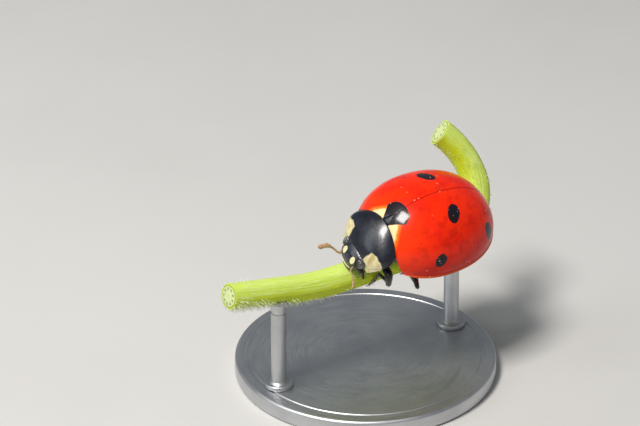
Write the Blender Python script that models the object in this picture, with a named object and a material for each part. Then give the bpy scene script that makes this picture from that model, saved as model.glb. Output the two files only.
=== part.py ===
"""A life-size seven-spot ladybird gripping a cut length of green tendril, on a small two-rod display stand.

Blender works here in metres, with +Z up and the origin under the middle of the stand's base. Sizes below are in
millimetres. The animal is modelled in its own frame (+x towards the head, +y to its left, +z dorsal, zero on the
level of the wing cases' edge) and an empty carries it to its place on the tendril, facing -X and rolled to the left.
"""

import math

import bmesh
import bpy
from mathutils import Matrix, Vector

MM = 0.001  # metres in a millimetre
GAP = 0.05  # clear space between two pieces that meet

# Display stand
BASE_RADIUS = 6.0
BASE_THICKNESS = 0.8
BASE_BEVEL = 0.15
BASE_SIDES = 72
ROD_RADIUS = 0.35
ROD_REACH = 4.8  # from the middle of the base out to each rod
ROD_SIDES = 20
ROD_CRADLE = 0.28  # how far the rod's saddle reaches up round the tendril

# Tendril. It runs level along X under the animal, rises gently in front of it and arches up behind it
PERCH_HEIGHT = 5.3
PERCH_RADIUS = 0.64
PERCH_TIP_RADIUS = 0.58  # at the end in front of the head
PERCH_STRAIGHT = (-1.2, 4.5)  # X where the level run starts and ends
PERCH_FRONT_BEND = (12.9, 12.4)  # radius, and degrees turned
PERCH_FRONT_RUN = 3.6  # straight again beyond that bend
PERCH_REAR_BENDS = ((2.4, 98.0), (4.0, 34.0))
PERCH_REAR_LEAN = 32.0  # degrees that the rear arch leans from upright, towards the animal's right
PERCH_TAPER_LENGTH = 6.4
PERCH_SIDES = 14

# Where the animal stands
BODY_X = 2.6  # X of the middle of its wing cases
RIDE_HEIGHT = 1.65  # from the tendril's middle up to the edge of the wing cases
ROLL = 22.0  # degrees, left side down
HEAD_YAW = -4.0  # the front of the body turns a little to its right

# Wing cases: half an egg, flat below
CASE_FRONT = 3.06
CASE_REAR = 3.50
CASE_HALF_WIDTH = 2.73
CASE_HEIGHT = 2.58
PLAN_POWER = 2.18  # 2 is an ellipse, more is squarer
PROFILE_POWER = 1.90
CASE_WALL = 0.5
CASE_BASE_X = 2.41  # the front edge runs straight across here
SHOULDER_START = 1.35  # out to this far from the middle, and then rounds back
SHOULDER_ANGLE = 47.0  # where it meets the outline, as an angle on the plan
CASE_INNER_BASE_X = 2.31  # the same edge, on the inner side
SUTURE_GAP = 0.06
CASE_ROWS = 18
CASE_COLUMNS = 11

# Scutellum: the small triangle between the wing cases' front corners
SCUTELLUM_LENGTH = 0.46
SCUTELLUM_HALF_WIDTH = 0.22
SCUTELLUM_TIP_HALF_WIDTH = 0.05
SCUTELLUM_DEPTH = 0.5

# Trunk below the wing cases
TRUNK_INSET = CASE_WALL + 0.09  # from the outer face of the wing cases
TRUNK_DEPTH = 0.60
TRUNK_FRONT_X = 2.36
TRUNK_WAIST_X = 0.30  # the thorax ends here and the abdomen starts
TRUNK_SIDES = 28
ABDOMEN_RINGS = 8
THORAX_RINGS = 7

# Pronotum: its middle line and its side margin, as curves from the rear end to the front end
PRONOTUM_MIDDLE = ((2.42, 0.0, 1.52), (3.30, 0.0, 1.18), (3.62, 0.0, 0.24))
PRONOTUM_MARGIN = ((2.46, 1.62, 0.66), (2.62, 2.00, 0.40), (3.14, 1.80, 0.46), (3.49, 1.10, -0.32))
PRONOTUM_ARCH_POWER = (2.1, 0.3)  # at the rear and at the front: 1 is round, more is peaked, less is square
PRONOTUM_ROWS = 10
PRONOTUM_COLUMNS = 20

# Head and what it carries
NECK = (2.40, 0.0, 0.70)  # the front of the body turns about this point
HEAD_SECTIONS = (  # from the neck to the face: x, middle height, half width, half height
    (2.74, 0.02, 0.42, 0.28),
    (2.95, -0.02, 0.70, 0.44),
    (3.25, -0.12, 0.82, 0.52),
    (3.50, -0.21, 0.80, 0.53),
    (3.68, -0.30, 0.74, 0.47),
    (3.80, -0.36, 0.66, 0.40),
    (3.88, -0.42, 0.56, 0.32),
    (3.93, -0.46, 0.38, 0.20),
)
HEAD_ENDS = (0.08, 0.02)  # how far the neck and the face bulge beyond those
HEAD_SQUARENESS = 2.5
HEAD_SIDES = 24
EYE_CENTRE = (3.56, 0.66, -0.11)
EYE_RADII = (0.24, 0.22, 0.30)
MOUTH_CENTRE = (3.76, 0.0, -0.72)
MOUTH_RADII = (0.24, 0.40, 0.17)
PALP_PATH = ((3.60, 0.40, -0.62), (3.52, 0.66, -0.80), (3.36, 0.80, -1.06))
ANTENNA_ROOT = (3.86, 0.50, -0.44)
ANTENNA_ELBOW = (0.26, 0.12, -0.01)  # forward, outward and up from the root
ANTENNA_STEPS = {"right": (0.44, 0.45, -0.04), "left": (0.13, 0.62, -0.21)}  # and then from the elbow
FEELER_RADIUS = 0.25
PALP_ROOT_RADIUS = 0.20
PROSTERNUM_CENTRE = (2.87, 0.0, -0.12)
PROSTERNUM_RADII = (0.52, 1.05, 0.42)

# Legs, on the left: femur root, knee, ankle and foot. The right leg is the mirror image, stepped forward by STRIDE
LEG_JOINTS = {
    "front": ((2.86, 0.70, -0.88), (2.58, 1.62, -0.92), (2.50, 0.78, -1.16), (2.68, 0.50, -2.02)),
    "middle": ((1.62, 0.86, -0.94), (1.42, 2.30, -0.90), (1.10, 0.98, -1.22), (0.86, 0.50, -2.02)),
    "hind": ((0.30, 0.86, -0.94), (-0.42, 2.12, -0.88), (-1.10, 0.98, -1.22), (-1.46, 0.50, -2.02)),
}
STRIDE = {"front": 0.30, "middle": -0.34, "hind": 0.30}
STRIDE_SHARES = (0.0, 0.6, 1.0, 1.0)  # how much of that each of the four points takes
FEMUR_ROOT_RADIUS = 0.27
LEG_RADIUS = 0.25
LEG_SIDES = 9
LEG_CLEARANCE = 0.07  # between a leg's skin and the tendril's

FINISHES = {  # colour, roughness, metallic
    "wing_case_red": ((0.80, 0.045, 0.004), 0.18, 0.0),
    "black_shell": ((0.012, 0.014, 0.020), 0.22, 0.0),
    "underside_black": ((0.018, 0.016, 0.016), 0.45, 0.0),
    "eye_black": ((0.010, 0.008, 0.010), 0.12, 0.0),
    "feeler_brown": ((0.34, 0.16, 0.06), 0.45, 0.0),
    "tendril_green": ((0.42, 0.58, 0.05), 0.45, 0.0),
    "stand_steel": ((0.56, 0.57, 0.58), 0.32, 1.0),
}


def clear_scene():
    for old in list(bpy.data.objects):
        bpy.data.objects.remove(old)


def finish(name):
    """The named material, made the first time that it is asked for."""
    made = bpy.data.materials.get(name)
    if made:
        return made
    colour, roughness, metallic = FINISHES[name]
    made = bpy.data.materials.new(name)
    made.use_nodes = True
    shader = made.node_tree.nodes["Principled BSDF"]
    shader.inputs["Base Color"].default_value = (*colour, 1.0)
    shader.inputs["Roughness"].default_value = roughness
    shader.inputs["Metallic"].default_value = metallic
    return made


def add_object(name, mesh_tool, material, parent=None, sharp_degrees=35.0):
    """A named object from a bmesh in millimetres: closed, faces out, smooth where its faces bend gently."""
    bmesh.ops.scale(mesh_tool, vec=(MM, MM, MM), verts=mesh_tool.verts)
    bmesh.ops.recalc_face_normals(mesh_tool, faces=mesh_tool.faces)
    mesh = bpy.data.meshes.new(name)
    mesh_tool.to_mesh(mesh)
    mesh_tool.free()
    mesh.materials.append(finish(material))
    mesh.shade_smooth()
    mesh.set_sharp_from_angle(angle=math.radians(sharp_degrees))
    made = bpy.data.objects.new(name, mesh)
    bpy.context.scene.collection.objects.link(made)
    made.parent = parent
    return made


def empty(name, location, rotation_degrees, parent=None):
    made = bpy.data.objects.new(name, None)
    made.location = Vector(location) * MM
    made.rotation_euler = [math.radians(angle) for angle in rotation_degrees]
    made.parent = parent
    bpy.context.scene.collection.objects.link(made)
    return made


def loft(rings, poles=(None, None)):
    """A closed skin over rings of equal length. Each end is a point where a pole is given, and flat otherwise."""
    mesh_tool = bmesh.new()
    loops = [[mesh_tool.verts.new(point) for point in ring] for ring in rings]
    count = len(loops[0])
    for lower, upper in zip(loops, loops[1:]):
        for i in range(count):
            j = (i + 1) % count
            mesh_tool.faces.new((lower[i], lower[j], upper[j], upper[i]))
    for loop, pole in ((loops[0], poles[0]), (loops[-1], poles[1])):
        if pole is None:
            mesh_tool.faces.new(loop)
            continue
        tip = mesh_tool.verts.new(pole)
        for i in range(count):
            mesh_tool.faces.new((loop[i], loop[(i + 1) % count], tip))
    return mesh_tool


def across(direction):
    """Two unit vectors square to a direction and to each other."""
    hint = Vector((0, 0, 1)) if abs(direction.z) < 0.9 else Vector((0, 1, 0))
    side = direction.cross(hint).normalized()
    return side, side.cross(direction).normalized()


def ring_around(centre, direction, radius, sides):
    side, rise = across(direction)
    turns = [2 * math.pi * i / sides for i in range(sides)]
    return [centre + radius * (math.cos(t) * side + math.sin(t) * rise) for t in turns]


def limb(path, radii, sides=LEG_SIDES, cap_rings=2):
    """A round-ended rod along a path, its radius changing evenly from end to end."""
    points = [Vector(point) for point in path]
    last = len(points) - 1
    rings = []
    for i, point in enumerate(points):
        direction = (points[min(i + 1, last)] - points[max(i - 1, 0)]).normalized()
        radius = radii[0] + (radii[1] - radii[0]) * i / last
        swell = [(0.0, 1.0)]
        if i in (0, last):
            angles = [math.pi / 2 * k / (cap_rings + 1) for k in range(cap_rings + 1)]
            swell = [(math.sin(a), math.cos(a)) for a in angles]
        if i == 0:
            swell = [(-along, out) for along, out in reversed(swell)]
        rings += [ring_around(point + direction * radius * along, direction, radius * out, sides)
                  for along, out in swell]
    first = (points[1] - points[0]).normalized()
    final = (points[-1] - points[-2]).normalized()
    return loft(rings, (points[0] - first * radii[0], points[-1] + final * radii[1]))


def ellipsoid(centre, radii, rows=12, sides=20):
    mesh_tool = bmesh.new()
    place = Matrix.Translation(centre) @ Matrix.Diagonal((*radii, 1.0))
    bmesh.ops.create_uvsphere(mesh_tool, u_segments=sides, v_segments=rows, radius=1.0, matrix=place)
    return mesh_tool


def cutter(name, mesh_tool, parent):
    """A helper that only cuts room for a neighbour."""
    made = add_object(name, mesh_tool, "underside_black", parent)
    made.hide_render = True
    made.display_type = "WIRE"
    return made


def cut(piece, *tools):
    for tool in tools:
        modifier = piece.modifiers.new("cut_" + tool.name, "BOOLEAN")
        modifier.operation = "DIFFERENCE"
        modifier.solver = "EXACT"
        modifier.object = tool


def keep_side(mesh_tool, point, normal):
    """Cuts a convex shape by a plane, keeps the side that the normal points to, and closes it."""
    everything = mesh_tool.verts[:] + mesh_tool.edges[:] + mesh_tool.faces[:]
    found = bmesh.ops.bisect_plane(mesh_tool, geom=everything, plane_co=point, plane_no=normal, clear_inner=True)
    rim = [item for item in found["geom_cut"] if isinstance(item, bmesh.types.BMEdge)]
    bmesh.ops.holes_fill(mesh_tool, edges=rim)


def mirrored(point, side):
    return Vector((point[0], point[1] if side == "left" else -point[1], point[2]))


def between(start, end, share):
    return start + (end - start) * share


def bezier(points, share):
    """A point on the curve that starts and ends at the first and last points and is drawn by the others."""
    points = [Vector(point) for point in points]
    while len(points) > 1:
        points = [between(a, b, share) for a, b in zip(points, points[1:])]
    return points[0]


# Wing cases ---------------------------------------------------------------------------------------------------


def outline_point(angle_degrees, inset):
    """A point on the egg's outline, seen from above. 180 degrees is its rear tip."""
    angle = math.radians(angle_degrees)
    c, s = math.cos(angle), math.sin(angle)
    size = (abs(c) ** PLAN_POWER + abs(s) ** PLAN_POWER) ** (-1 / PLAN_POWER)
    reach = (CASE_FRONT if c > 0 else CASE_REAR) - inset
    return Vector((reach * c * size, (CASE_HALF_WIDTH - inset) * s * size, 0.0))


def dome_height(x, y, inset):
    reach = (CASE_FRONT if x > 0 else CASE_REAR) - inset
    half_width = CASE_HALF_WIDTH - inset
    ratio = (abs(x / reach) ** PLAN_POWER + abs(y / half_width) ** PLAN_POWER) ** (1 / PLAN_POWER)
    return (CASE_HEIGHT - inset) * math.sqrt(max(0.0, 1 - min(ratio, 1.0) ** PROFILE_POWER))


def suture_offset(x):
    """How far the inner edge of a wing case lies from the middle line: it opens round the scutellum."""
    opening = max(0.0, x - (CASE_BASE_X - SCUTELLUM_LENGTH)) / SCUTELLUM_LENGTH
    return SUTURE_GAP / 2 + opening * (SCUTELLUM_HALF_WIDTH + GAP)


def front_edge(y):
    """The front edge, seen from above: straight, then a quarter of an ellipse that ends at the shoulder."""
    shoulder = outline_point(SHOULDER_ANGLE, 0)
    share = max(0.0, y - SHOULDER_START) / (shoulder.y - SHOULDER_START)
    return between(shoulder.x, CASE_BASE_X, math.sqrt(max(0.0, 1 - share ** 2)))


def case_row(along, inset):
    """Points from the suture out to the side edge. Along is 0 at the rear tip and 1 at the front edge."""
    outer = outline_point(180 - along * (180 - SHOULDER_ANGLE), inset)
    shoulder_x = outline_point(SHOULDER_ANGLE, inset).x
    base_x = CASE_INNER_BASE_X if inset else CASE_BASE_X
    inner_x = outer.x * (base_x / shoulder_x if outer.x > 0 else 1.0)
    inner = Vector((inner_x, suture_offset(inner_x), 0.0))
    row = []
    for column in range(CASE_COLUMNS + 1):
        out = math.sin(math.pi / 2 * column / CASE_COLUMNS)
        point = between(inner, outer, out)
        if inset == 0:
            point.x += (front_edge(point.y) - between(base_x, shoulder_x, out)) * along ** 6
        point.z = 0.0 if column == CASE_COLUMNS else dome_height(point.x, point.y, inset)
        row.append(point)
    return row


def wing_case(side, parent):
    mesh_tool = bmesh.new()
    skins = []
    for inset in (0.0, CASE_WALL):
        tip = mesh_tool.verts.new((-CASE_REAR + inset, SUTURE_GAP / 2, 0.0))
        rows = [[tip] * (CASE_COLUMNS + 1)]
        for k in range(1, CASE_ROWS + 1):
            rows.append([mesh_tool.verts.new(point) for point in case_row(k / CASE_ROWS, inset)])
        skins.append(rows)
    outer, inner = skins

    def patch(a, b, c, d):
        corners = list(dict.fromkeys((a, b, c, d)))
        if len(corners) > 2:
            mesh_tool.faces.new(corners)

    for k in range(CASE_ROWS):
        for column in range(CASE_COLUMNS):
            for rows in skins:
                patch(rows[k][column], rows[k][column + 1], rows[k + 1][column + 1], rows[k + 1][column])
        for column in (0, CASE_COLUMNS):
            patch(outer[k][column], outer[k + 1][column], inner[k + 1][column], inner[k][column])
    for column in range(CASE_COLUMNS):
        patch(outer[-1][column], outer[-1][column + 1], inner[-1][column + 1], inner[-1][column])
    if side == "right":
        bmesh.ops.scale(mesh_tool, vec=(1, -1, 1), verts=mesh_tool.verts)
    return add_object("wing_case_" + side, mesh_tool, "wing_case_red", parent)


def scutellum(parent):
    rear_x = CASE_BASE_X - SCUTELLUM_LENGTH + 2 * GAP
    rings = []
    for x, half_width in ((CASE_BASE_X, SCUTELLUM_HALF_WIDTH), (rear_x, SCUTELLUM_TIP_HALF_WIDTH)):
        top = dome_height(x, 0, 0)
        side = top - SCUTELLUM_TIP_HALF_WIDTH / 2
        low = top - SCUTELLUM_DEPTH
        ring = ((-half_width, side), (0, top), (half_width, side), (half_width, low), (-half_width, low))
        rings.append([Vector((x, y, height)) for y, height in ring])
    return add_object("scutellum", loft(rings), "black_shell", parent)


# Trunk --------------------------------------------------------------------------------------------------------


def trunk_ring(x):
    """A section of the trunk: the wing cases' inner shape above, and a shallow belly below."""
    reach = (CASE_FRONT if x > 0 else CASE_REAR) - TRUNK_INSET
    narrowing = max(0.0, 1 - abs(x / reach) ** PLAN_POWER) ** (1 / PLAN_POWER)
    half_width = (CASE_HALF_WIDTH - TRUNK_INSET) * narrowing
    top = dome_height(x, 0, TRUNK_INSET)
    low = TRUNK_DEPTH * math.sqrt(narrowing)
    ring = []
    for i in range(TRUNK_SIDES):
        turn = 2 * math.pi * i / TRUNK_SIDES
        c, s = math.cos(turn), math.sin(turn)
        ring.append(Vector((x, half_width * c, s * (top if s > 0 else low))))
    return ring


def trunk(parent):
    rear = TRUNK_INSET - CASE_REAR
    abdomen_front = TRUNK_WAIST_X - GAP / 2
    turns = [math.pi / 2 * k / ABDOMEN_RINGS for k in range(1, ABDOMEN_RINGS + 1)]
    back = [trunk_ring(rear * math.cos(t) + abdomen_front * math.sin(t)) for t in turns]
    add_object("abdomen", loft(back, (Vector((rear, 0, 0)), None)), "underside_black", parent)
    thorax_rear = TRUNK_WAIST_X + GAP / 2
    front = [trunk_ring(between(thorax_rear, TRUNK_FRONT_X, k / (THORAX_RINGS - 1))) for k in range(THORAX_RINGS)]
    add_object("thorax", loft(front), "underside_black", parent)


# Pronotum, head and feelers -----------------------------------------------------------------------------------


def pronotum(parent):
    rings = []
    for row in range(PRONOTUM_ROWS + 1):
        share = row / PRONOTUM_ROWS
        crown = bezier(PRONOTUM_MIDDLE, share)
        margin = bezier(PRONOTUM_MARGIN, share)
        power = between(*PRONOTUM_ARCH_POWER, share)
        ring = []
        for column in range(PRONOTUM_COLUMNS + 1):
            turn = math.pi * (column / PRONOTUM_COLUMNS - 0.5)
            rise = max(0.0, math.cos(turn))
            ring.append(Vector((
                between(margin.x, crown.x, rise),
                margin.y * math.sin(turn),
                between(margin.z, crown.z, rise ** power))))
        rings.append(ring)
    return add_object("pronotum", loft(rings), "black_shell", parent)


def head_shape(extra=0.0):
    rings = []
    for x, middle, half_width, half_height in HEAD_SECTIONS:
        ring = []
        for i in range(HEAD_SIDES):
            turn = 2 * math.pi * i / HEAD_SIDES
            c, s = math.cos(turn), math.sin(turn)
            size = (abs(c) ** HEAD_SQUARENESS + abs(s) ** HEAD_SQUARENESS) ** (-1 / HEAD_SQUARENESS)
            ring.append(Vector((x, (half_width + extra) * c * size, middle + (half_height + extra) * s * size)))
        rings.append(ring)
    neck = Vector((HEAD_SECTIONS[0][0] - HEAD_ENDS[0] - extra, 0, HEAD_SECTIONS[0][1]))
    face = Vector((HEAD_SECTIONS[-1][0] + HEAD_ENDS[1] + extra, 0, HEAD_SECTIONS[-1][1]))
    return loft(rings, (neck, face))


def wing_case_room():
    """The space of both wing cases' front part, seen from above, with its clearance."""
    widest = outline_point(SHOULDER_ANGLE, 0).y
    front = []
    for k in range(-12, 13):
        y = widest * math.sin(math.pi / 2 * k / 12)
        front.append((front_edge(abs(y)) + GAP, y))
    plan = [(1.0, -widest)] + front + [(1.0, widest)]
    return loft([[Vector((x, y, height)) for x, y in plan] for height in (-1.0, 3.0)])


def grown(radii):
    return tuple(radius + GAP for radius in radii)


def front_of_body(parent, perch_cutter):
    head_cutter = cutter("room_for_head", head_shape(GAP), parent)
    mouth_cutter = cutter("room_for_mouth", ellipsoid(MOUTH_CENTRE, grown(MOUTH_RADII), 10, 20), parent)
    head = add_object("head", head_shape(), "black_shell", parent)
    shield = pronotum(parent)
    cut(shield, head_cutter, cutter("room_for_wing_cases", wing_case_room(), parent.parent.parent))
    for side in ("left", "right"):
        centre = mirrored(EYE_CENTRE, side)
        add_object("eye_" + side, ellipsoid(centre, EYE_RADII, 10, 16), "eye_black", parent)
        socket = cutter("room_for_eye_" + side, ellipsoid(centre, grown(EYE_RADII), 12, 20), parent)
        cut(head, socket)
        cut(shield, socket)
        feeler = antenna(side, parent)
        cut(feeler, head_cutter, socket, mouth_cutter)
        path = [mirrored(point, side) for point in PALP_PATH]
        palp = add_object("palp_" + side, limb(path, (PALP_ROOT_RADIUS, FEELER_RADIUS)), "black_shell", parent)
        cut(palp, head_cutter, socket, mouth_cutter, perch_cutter)
    mouth = add_object("mouth", ellipsoid(MOUTH_CENTRE, MOUTH_RADII, 8, 16), "black_shell", parent)
    cut(mouth, head_cutter)
    chest = add_object("prosternum", ellipsoid(PROSTERNUM_CENTRE, PROSTERNUM_RADII, 10, 20),
                       "underside_black", parent)
    cut(chest, head_cutter)


def antenna(side, parent):
    path = [mirrored(ANTENNA_ROOT, side)]
    for step in (ANTENNA_ELBOW, ANTENNA_STEPS[side]):
        path.append(path[-1] + mirrored(step, side))
    return add_object("antenna_" + side, limb(path, (FEELER_RADIUS, FEELER_RADIUS)), "feeler_brown", parent)


# Legs ---------------------------------------------------------------------------------------------------------


def off_the_perch(point):
    """The point, moved straight out from the tendril's middle until a leg along it clears the tendril."""
    spoke = Vector((0.0, point.y, point.z + RIDE_HEIGHT))
    room = PERCH_RADIUS + LEG_CLEARANCE + LEG_RADIUS
    if spoke.length >= room:
        return point
    return Vector((point.x, 0.0, -RIDE_HEIGHT)) + spoke.normalized() * room


def part_at(mesh_tool, joint, own_way, other_way):
    """Trims a leg piece at a joint, half a gap short of the plane that lies evenly between both pieces."""
    normal = (own_way.normalized() - other_way.normalized()).normalized()
    keep_side(mesh_tool, joint + normal * GAP / 2, normal)


def leg(pair, side, parent, perch_cutter):
    joints = [mirrored(point, side) for point in LEG_JOINTS[pair]]
    if side == "right":
        joints = [point + Vector((STRIDE[pair] * share, 0, 0)) for point, share in zip(joints, STRIDE_SHARES)]
    root, knee, ankle, foot = [off_the_perch(point) for point in joints]
    instep = off_the_perch(between(ankle, foot, 0.5))

    femur = limb([root, knee], (FEMUR_ROOT_RADIUS, LEG_RADIUS))
    part_at(femur, knee, root - knee, ankle - knee)
    add_object(f"{pair}_femur_{side}", femur, "black_shell", parent)

    tibia = limb([knee, ankle], (LEG_RADIUS, LEG_RADIUS))
    part_at(tibia, knee, ankle - knee, root - knee)
    part_at(tibia, ankle, knee - ankle, instep - ankle)
    add_object(f"{pair}_tibia_{side}", tibia, "black_shell", parent)

    tarsus = limb([ankle, instep, foot], (LEG_RADIUS, LEG_RADIUS))
    part_at(tarsus, ankle, instep - ankle, knee - ankle)
    cut(add_object(f"{pair}_tarsus_{side}", tarsus, "black_shell", parent), perch_cutter)


# Tendril and stand --------------------------------------------------------------------------------------------


def bend(start, along, towards, radius, degrees, steps):
    """Points on an arc that leaves start along one direction and turns towards another, and its last directions."""
    points = []
    for k in range(1, steps + 1):
        angle = math.radians(degrees) * k / steps
        points.append(start + radius * (along * math.sin(angle) + towards * (1 - math.cos(angle))))
    turn = math.radians(degrees)
    exit_along = along * math.cos(turn) + towards * math.sin(turn)
    exit_towards = towards * math.cos(turn) - along * math.sin(turn)
    return points, exit_along, exit_towards


def perch_path():
    """Points along the tendril's middle, from the end in front of the head to the end behind the tail."""
    start = Vector((PERCH_STRAIGHT[0], 0, PERCH_HEIGHT))
    end = Vector((PERCH_STRAIGHT[1], 0, PERCH_HEIGHT))
    front, along, _ = bend(start, Vector((-1, 0, 0)), Vector((0, 0, 1)), *PERCH_FRONT_BEND, 4)
    front += [front[-1] + along * PERCH_FRONT_RUN * k / 4 for k in range(1, 5)]
    points = front[::-1] + [between(start, end, k / 6) for k in range(7)]
    lean = math.radians(PERCH_REAR_LEAN)
    along, towards = Vector((1, 0, 0)), Vector((0, math.sin(lean), math.cos(lean)))
    for (radius, degrees), steps in zip(PERCH_REAR_BENDS, (16, 6)):
        arc, along, towards = bend(points[-1], along, towards, radius, degrees, steps)
        points += arc
    return points


def perch_radius(point):
    """The tendril thins towards the end in front of the head."""
    share = max(0.0, (PERCH_STRAIGHT[0] - point.x) / PERCH_TAPER_LENGTH)
    return between(PERCH_RADIUS, PERCH_TIP_RADIUS, min(share, 1.0))


def perch_skin(extra):
    points = perch_path()
    last = len(points) - 1
    rings = []
    for i, point in enumerate(points):
        direction = (points[min(i + 1, last)] - points[max(i - 1, 0)]).normalized()
        side = Vector((0, 1, 0)) - direction * direction.y
        side.normalize()
        rise = side.cross(direction)
        radius = perch_radius(point) + extra
        turns = [2 * math.pi * k / PERCH_SIDES for k in range(PERCH_SIDES)]
        rings.append([point + radius * (math.cos(t) * side + math.sin(t) * rise) for t in turns])
    return loft(rings)


def stand():
    profile = ((BASE_RADIUS - BASE_BEVEL, 0.0), (BASE_RADIUS, BASE_BEVEL),
               (BASE_RADIUS, BASE_THICKNESS - BASE_BEVEL), (BASE_RADIUS - BASE_BEVEL, BASE_THICKNESS))
    up = Vector((0, 0, 1))
    rings = [ring_around(Vector((0, 0, height)), up, radius, BASE_SIDES) for radius, height in profile]
    add_object("stand_base", loft(rings), "stand_steel")
    saddle = cutter("room_for_perch_on_rods", perch_skin(GAP), None)
    for name, x in (("stand_rod_front", -ROD_REACH), ("stand_rod_rear", ROD_REACH)):
        carried = min(perch_path(), key=lambda point: abs(point.x - x))
        top = carried.z - perch_radius(carried) + ROD_CRADLE
        foot = BASE_THICKNESS + GAP
        rings = [ring_around(Vector((x, carried.y, height)), up, ROD_RADIUS, ROD_SIDES) for height in (foot, top)]
        rod = add_object(name, loft(rings), "stand_steel")
        cut(rod, saddle)


def main():
    clear_scene()
    stand()
    add_object("perch_tendril", perch_skin(0.0), "tendril_green")
    roll = math.radians(ROLL)
    place = (BODY_X, -RIDE_HEIGHT * math.sin(roll), PERCH_HEIGHT + RIDE_HEIGHT * math.cos(roll))
    body = empty("ladybird", place, (-ROLL, 0.0, 180.0))
    front = empty("front_of_ladybird", NECK, (0.0, 0.0, HEAD_YAW), body)
    offset = empty("front_offset", [-value for value in NECK], (0, 0, 0), front)
    perch_cutter = cutter("room_for_perch", perch_skin(GAP), None)
    for side in ("left", "right"):
        wing_case(side, body)
        for pair in LEG_JOINTS:
            leg(pair, side, body, perch_cutter)
    scutellum(body)
    trunk(body)
    front_of_body(offset, perch_cutter)


main()
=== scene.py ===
"""The finished surfaces of a life-size seven-spot ladybird on a cut length of tendril, with its stand.

Sizes are in millimetres. The animal is laid out in its own frame (+x towards the head, +y to its left,
+z dorsal, zero on the level of the wing cases' edge), which BODY carries to its place. FRONT is the same for
the head and the pronotum, which turn a little to one side. The tendril and the stand are laid out in SHARED,
the frame that the solids share.
"""

import math

import bmesh
import bpy
from mathutils import Euler, Matrix, Vector


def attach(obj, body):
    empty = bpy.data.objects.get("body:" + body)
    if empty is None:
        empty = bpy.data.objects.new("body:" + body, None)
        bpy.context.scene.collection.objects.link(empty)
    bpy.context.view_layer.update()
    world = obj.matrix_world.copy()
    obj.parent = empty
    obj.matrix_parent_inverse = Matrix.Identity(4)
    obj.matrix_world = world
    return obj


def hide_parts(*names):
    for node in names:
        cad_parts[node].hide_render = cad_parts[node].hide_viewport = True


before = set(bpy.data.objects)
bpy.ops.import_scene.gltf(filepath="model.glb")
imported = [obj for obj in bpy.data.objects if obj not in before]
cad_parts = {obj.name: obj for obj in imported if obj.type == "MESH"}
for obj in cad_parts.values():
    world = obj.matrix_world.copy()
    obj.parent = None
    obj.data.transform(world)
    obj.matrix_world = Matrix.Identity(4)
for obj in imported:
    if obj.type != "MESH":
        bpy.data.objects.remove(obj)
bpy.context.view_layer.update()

MM = 0.001  # metres in a millimetre

# Places and sizes, most of them the solids' own
PERCH_HEIGHT = 5.3
PERCH_RADIUS = 0.64
PERCH_TIP_RADIUS = 0.58
PERCH_STRAIGHT = (-1.2, 4.5)
PERCH_FRONT_BEND = (12.9, 12.4)  # radius and degrees
PERCH_FRONT_RUN = 3.6
PERCH_REAR_BENDS = ((2.4, 98.0), (4.0, 34.0))
PERCH_REAR_LEAN = 32.0
PERCH_TAPER_LENGTH = 6.4
BODY_X = 2.6
RIDE_HEIGHT = 1.65
ROLL = 22.0
HEAD_YAW = -4.0
NECK = Vector((2.40, 0.0, 0.70))
CASE_FRONT = 3.06
CASE_REAR = 3.50
CASE_HALF_WIDTH = 2.73
CASE_HEIGHT = 2.58
PLAN_POWER = 2.18
PROFILE_POWER = 1.90
CASE_WALL = 0.5
CASE_BASE_X = 2.41
CASE_INNER_BASE_X = 2.31
SHOULDER_START = 1.10
SHOULDER_ANGLE = 47.0
SHOULDER_CORNER_Y = 1.75
SCUTELLUM_LENGTH = 0.46
SCUTELLUM_HALF_WIDTH = 0.22
TRUNK_INSET = CASE_WALL + 0.09
TRUNK_DEPTH = 0.60
TRUNK_FRONT_X = 2.36
TRUNK_WAIST_X = 0.30
PRONOTUM_MIDDLE = ((2.365, 0.0, 1.635), (3.30, 0.0, 1.18), (3.62, 0.0, 0.24))
PRONOTUM_MARGIN = ((2.46, 1.40, 0.86), (2.60, 1.72, 0.56), (3.14, 1.80, 0.46), (3.49, 1.10, -0.32))
PRONOTUM_ARCH_POWER = (1.6, 0.3)
HEAD_SECTIONS = (  # from the neck to the face: x, middle height, half width, half height
    (2.74, 0.00, 0.40, 0.22), (2.95, -0.05, 0.66, 0.36), (3.25, -0.16, 0.80, 0.46),
    (3.50, -0.23, 0.80, 0.50), (3.68, -0.30, 0.74, 0.47), (3.80, -0.36, 0.66, 0.40),
    (3.88, -0.42, 0.56, 0.32), (3.93, -0.46, 0.38, 0.20),
)
HEAD_SQUARENESS = 2.5
EYE_CENTRE = (3.56, 0.66, -0.11)
EYE_RADII = (0.24, 0.22, 0.30)
PALP_PATH = ((3.54, 0.48, -0.58), (3.42, 0.72, -0.78), (3.34, 0.82, -1.02))
ANTENNA_PATHS = {
    "left": ((3.84, 0.50, -0.44), (4.02, 0.62, -0.464), (4.06, 0.80, -0.536), (4.045, 0.98, -0.655),
             (4.058, 1.12, -0.808), (4.193, 1.30, -0.947)),
    "right": ((3.83, 0.50, -0.46), (3.945, 0.60, -0.66), (4.128, 0.78, -0.539), (4.302, 0.90, -0.439),
              (4.464, 1.00, -0.425), (4.729, 1.12, -0.588)),
}
PROSTERNUM_CENTRE = (2.87, 0.0, -0.12)
PROSTERNUM_RADII = (0.52, 1.05, 0.42)
LEG_JOINTS = {  # hip, knee, ankle and foot
    "front": ((2.44, 0.88, -0.52), (2.58, 1.62, -0.92), (2.50, 0.78, -1.16), (2.68, 0.50, -2.02)),
    "middle": ((1.40, 0.80, -0.78), (1.42, 2.30, -0.90), (1.10, 0.98, -1.22), (0.86, 0.50, -2.02)),
    "hind": ((0.30, 0.86, -0.94), (-0.42, 2.12, -0.88), (-1.10, 0.98, -1.22), (-1.46, 0.50, -2.02)),
}
FEMUR_STOUTNESS = {"front": 1.32, "middle": 1.0, "hind": 1.0}
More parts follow.
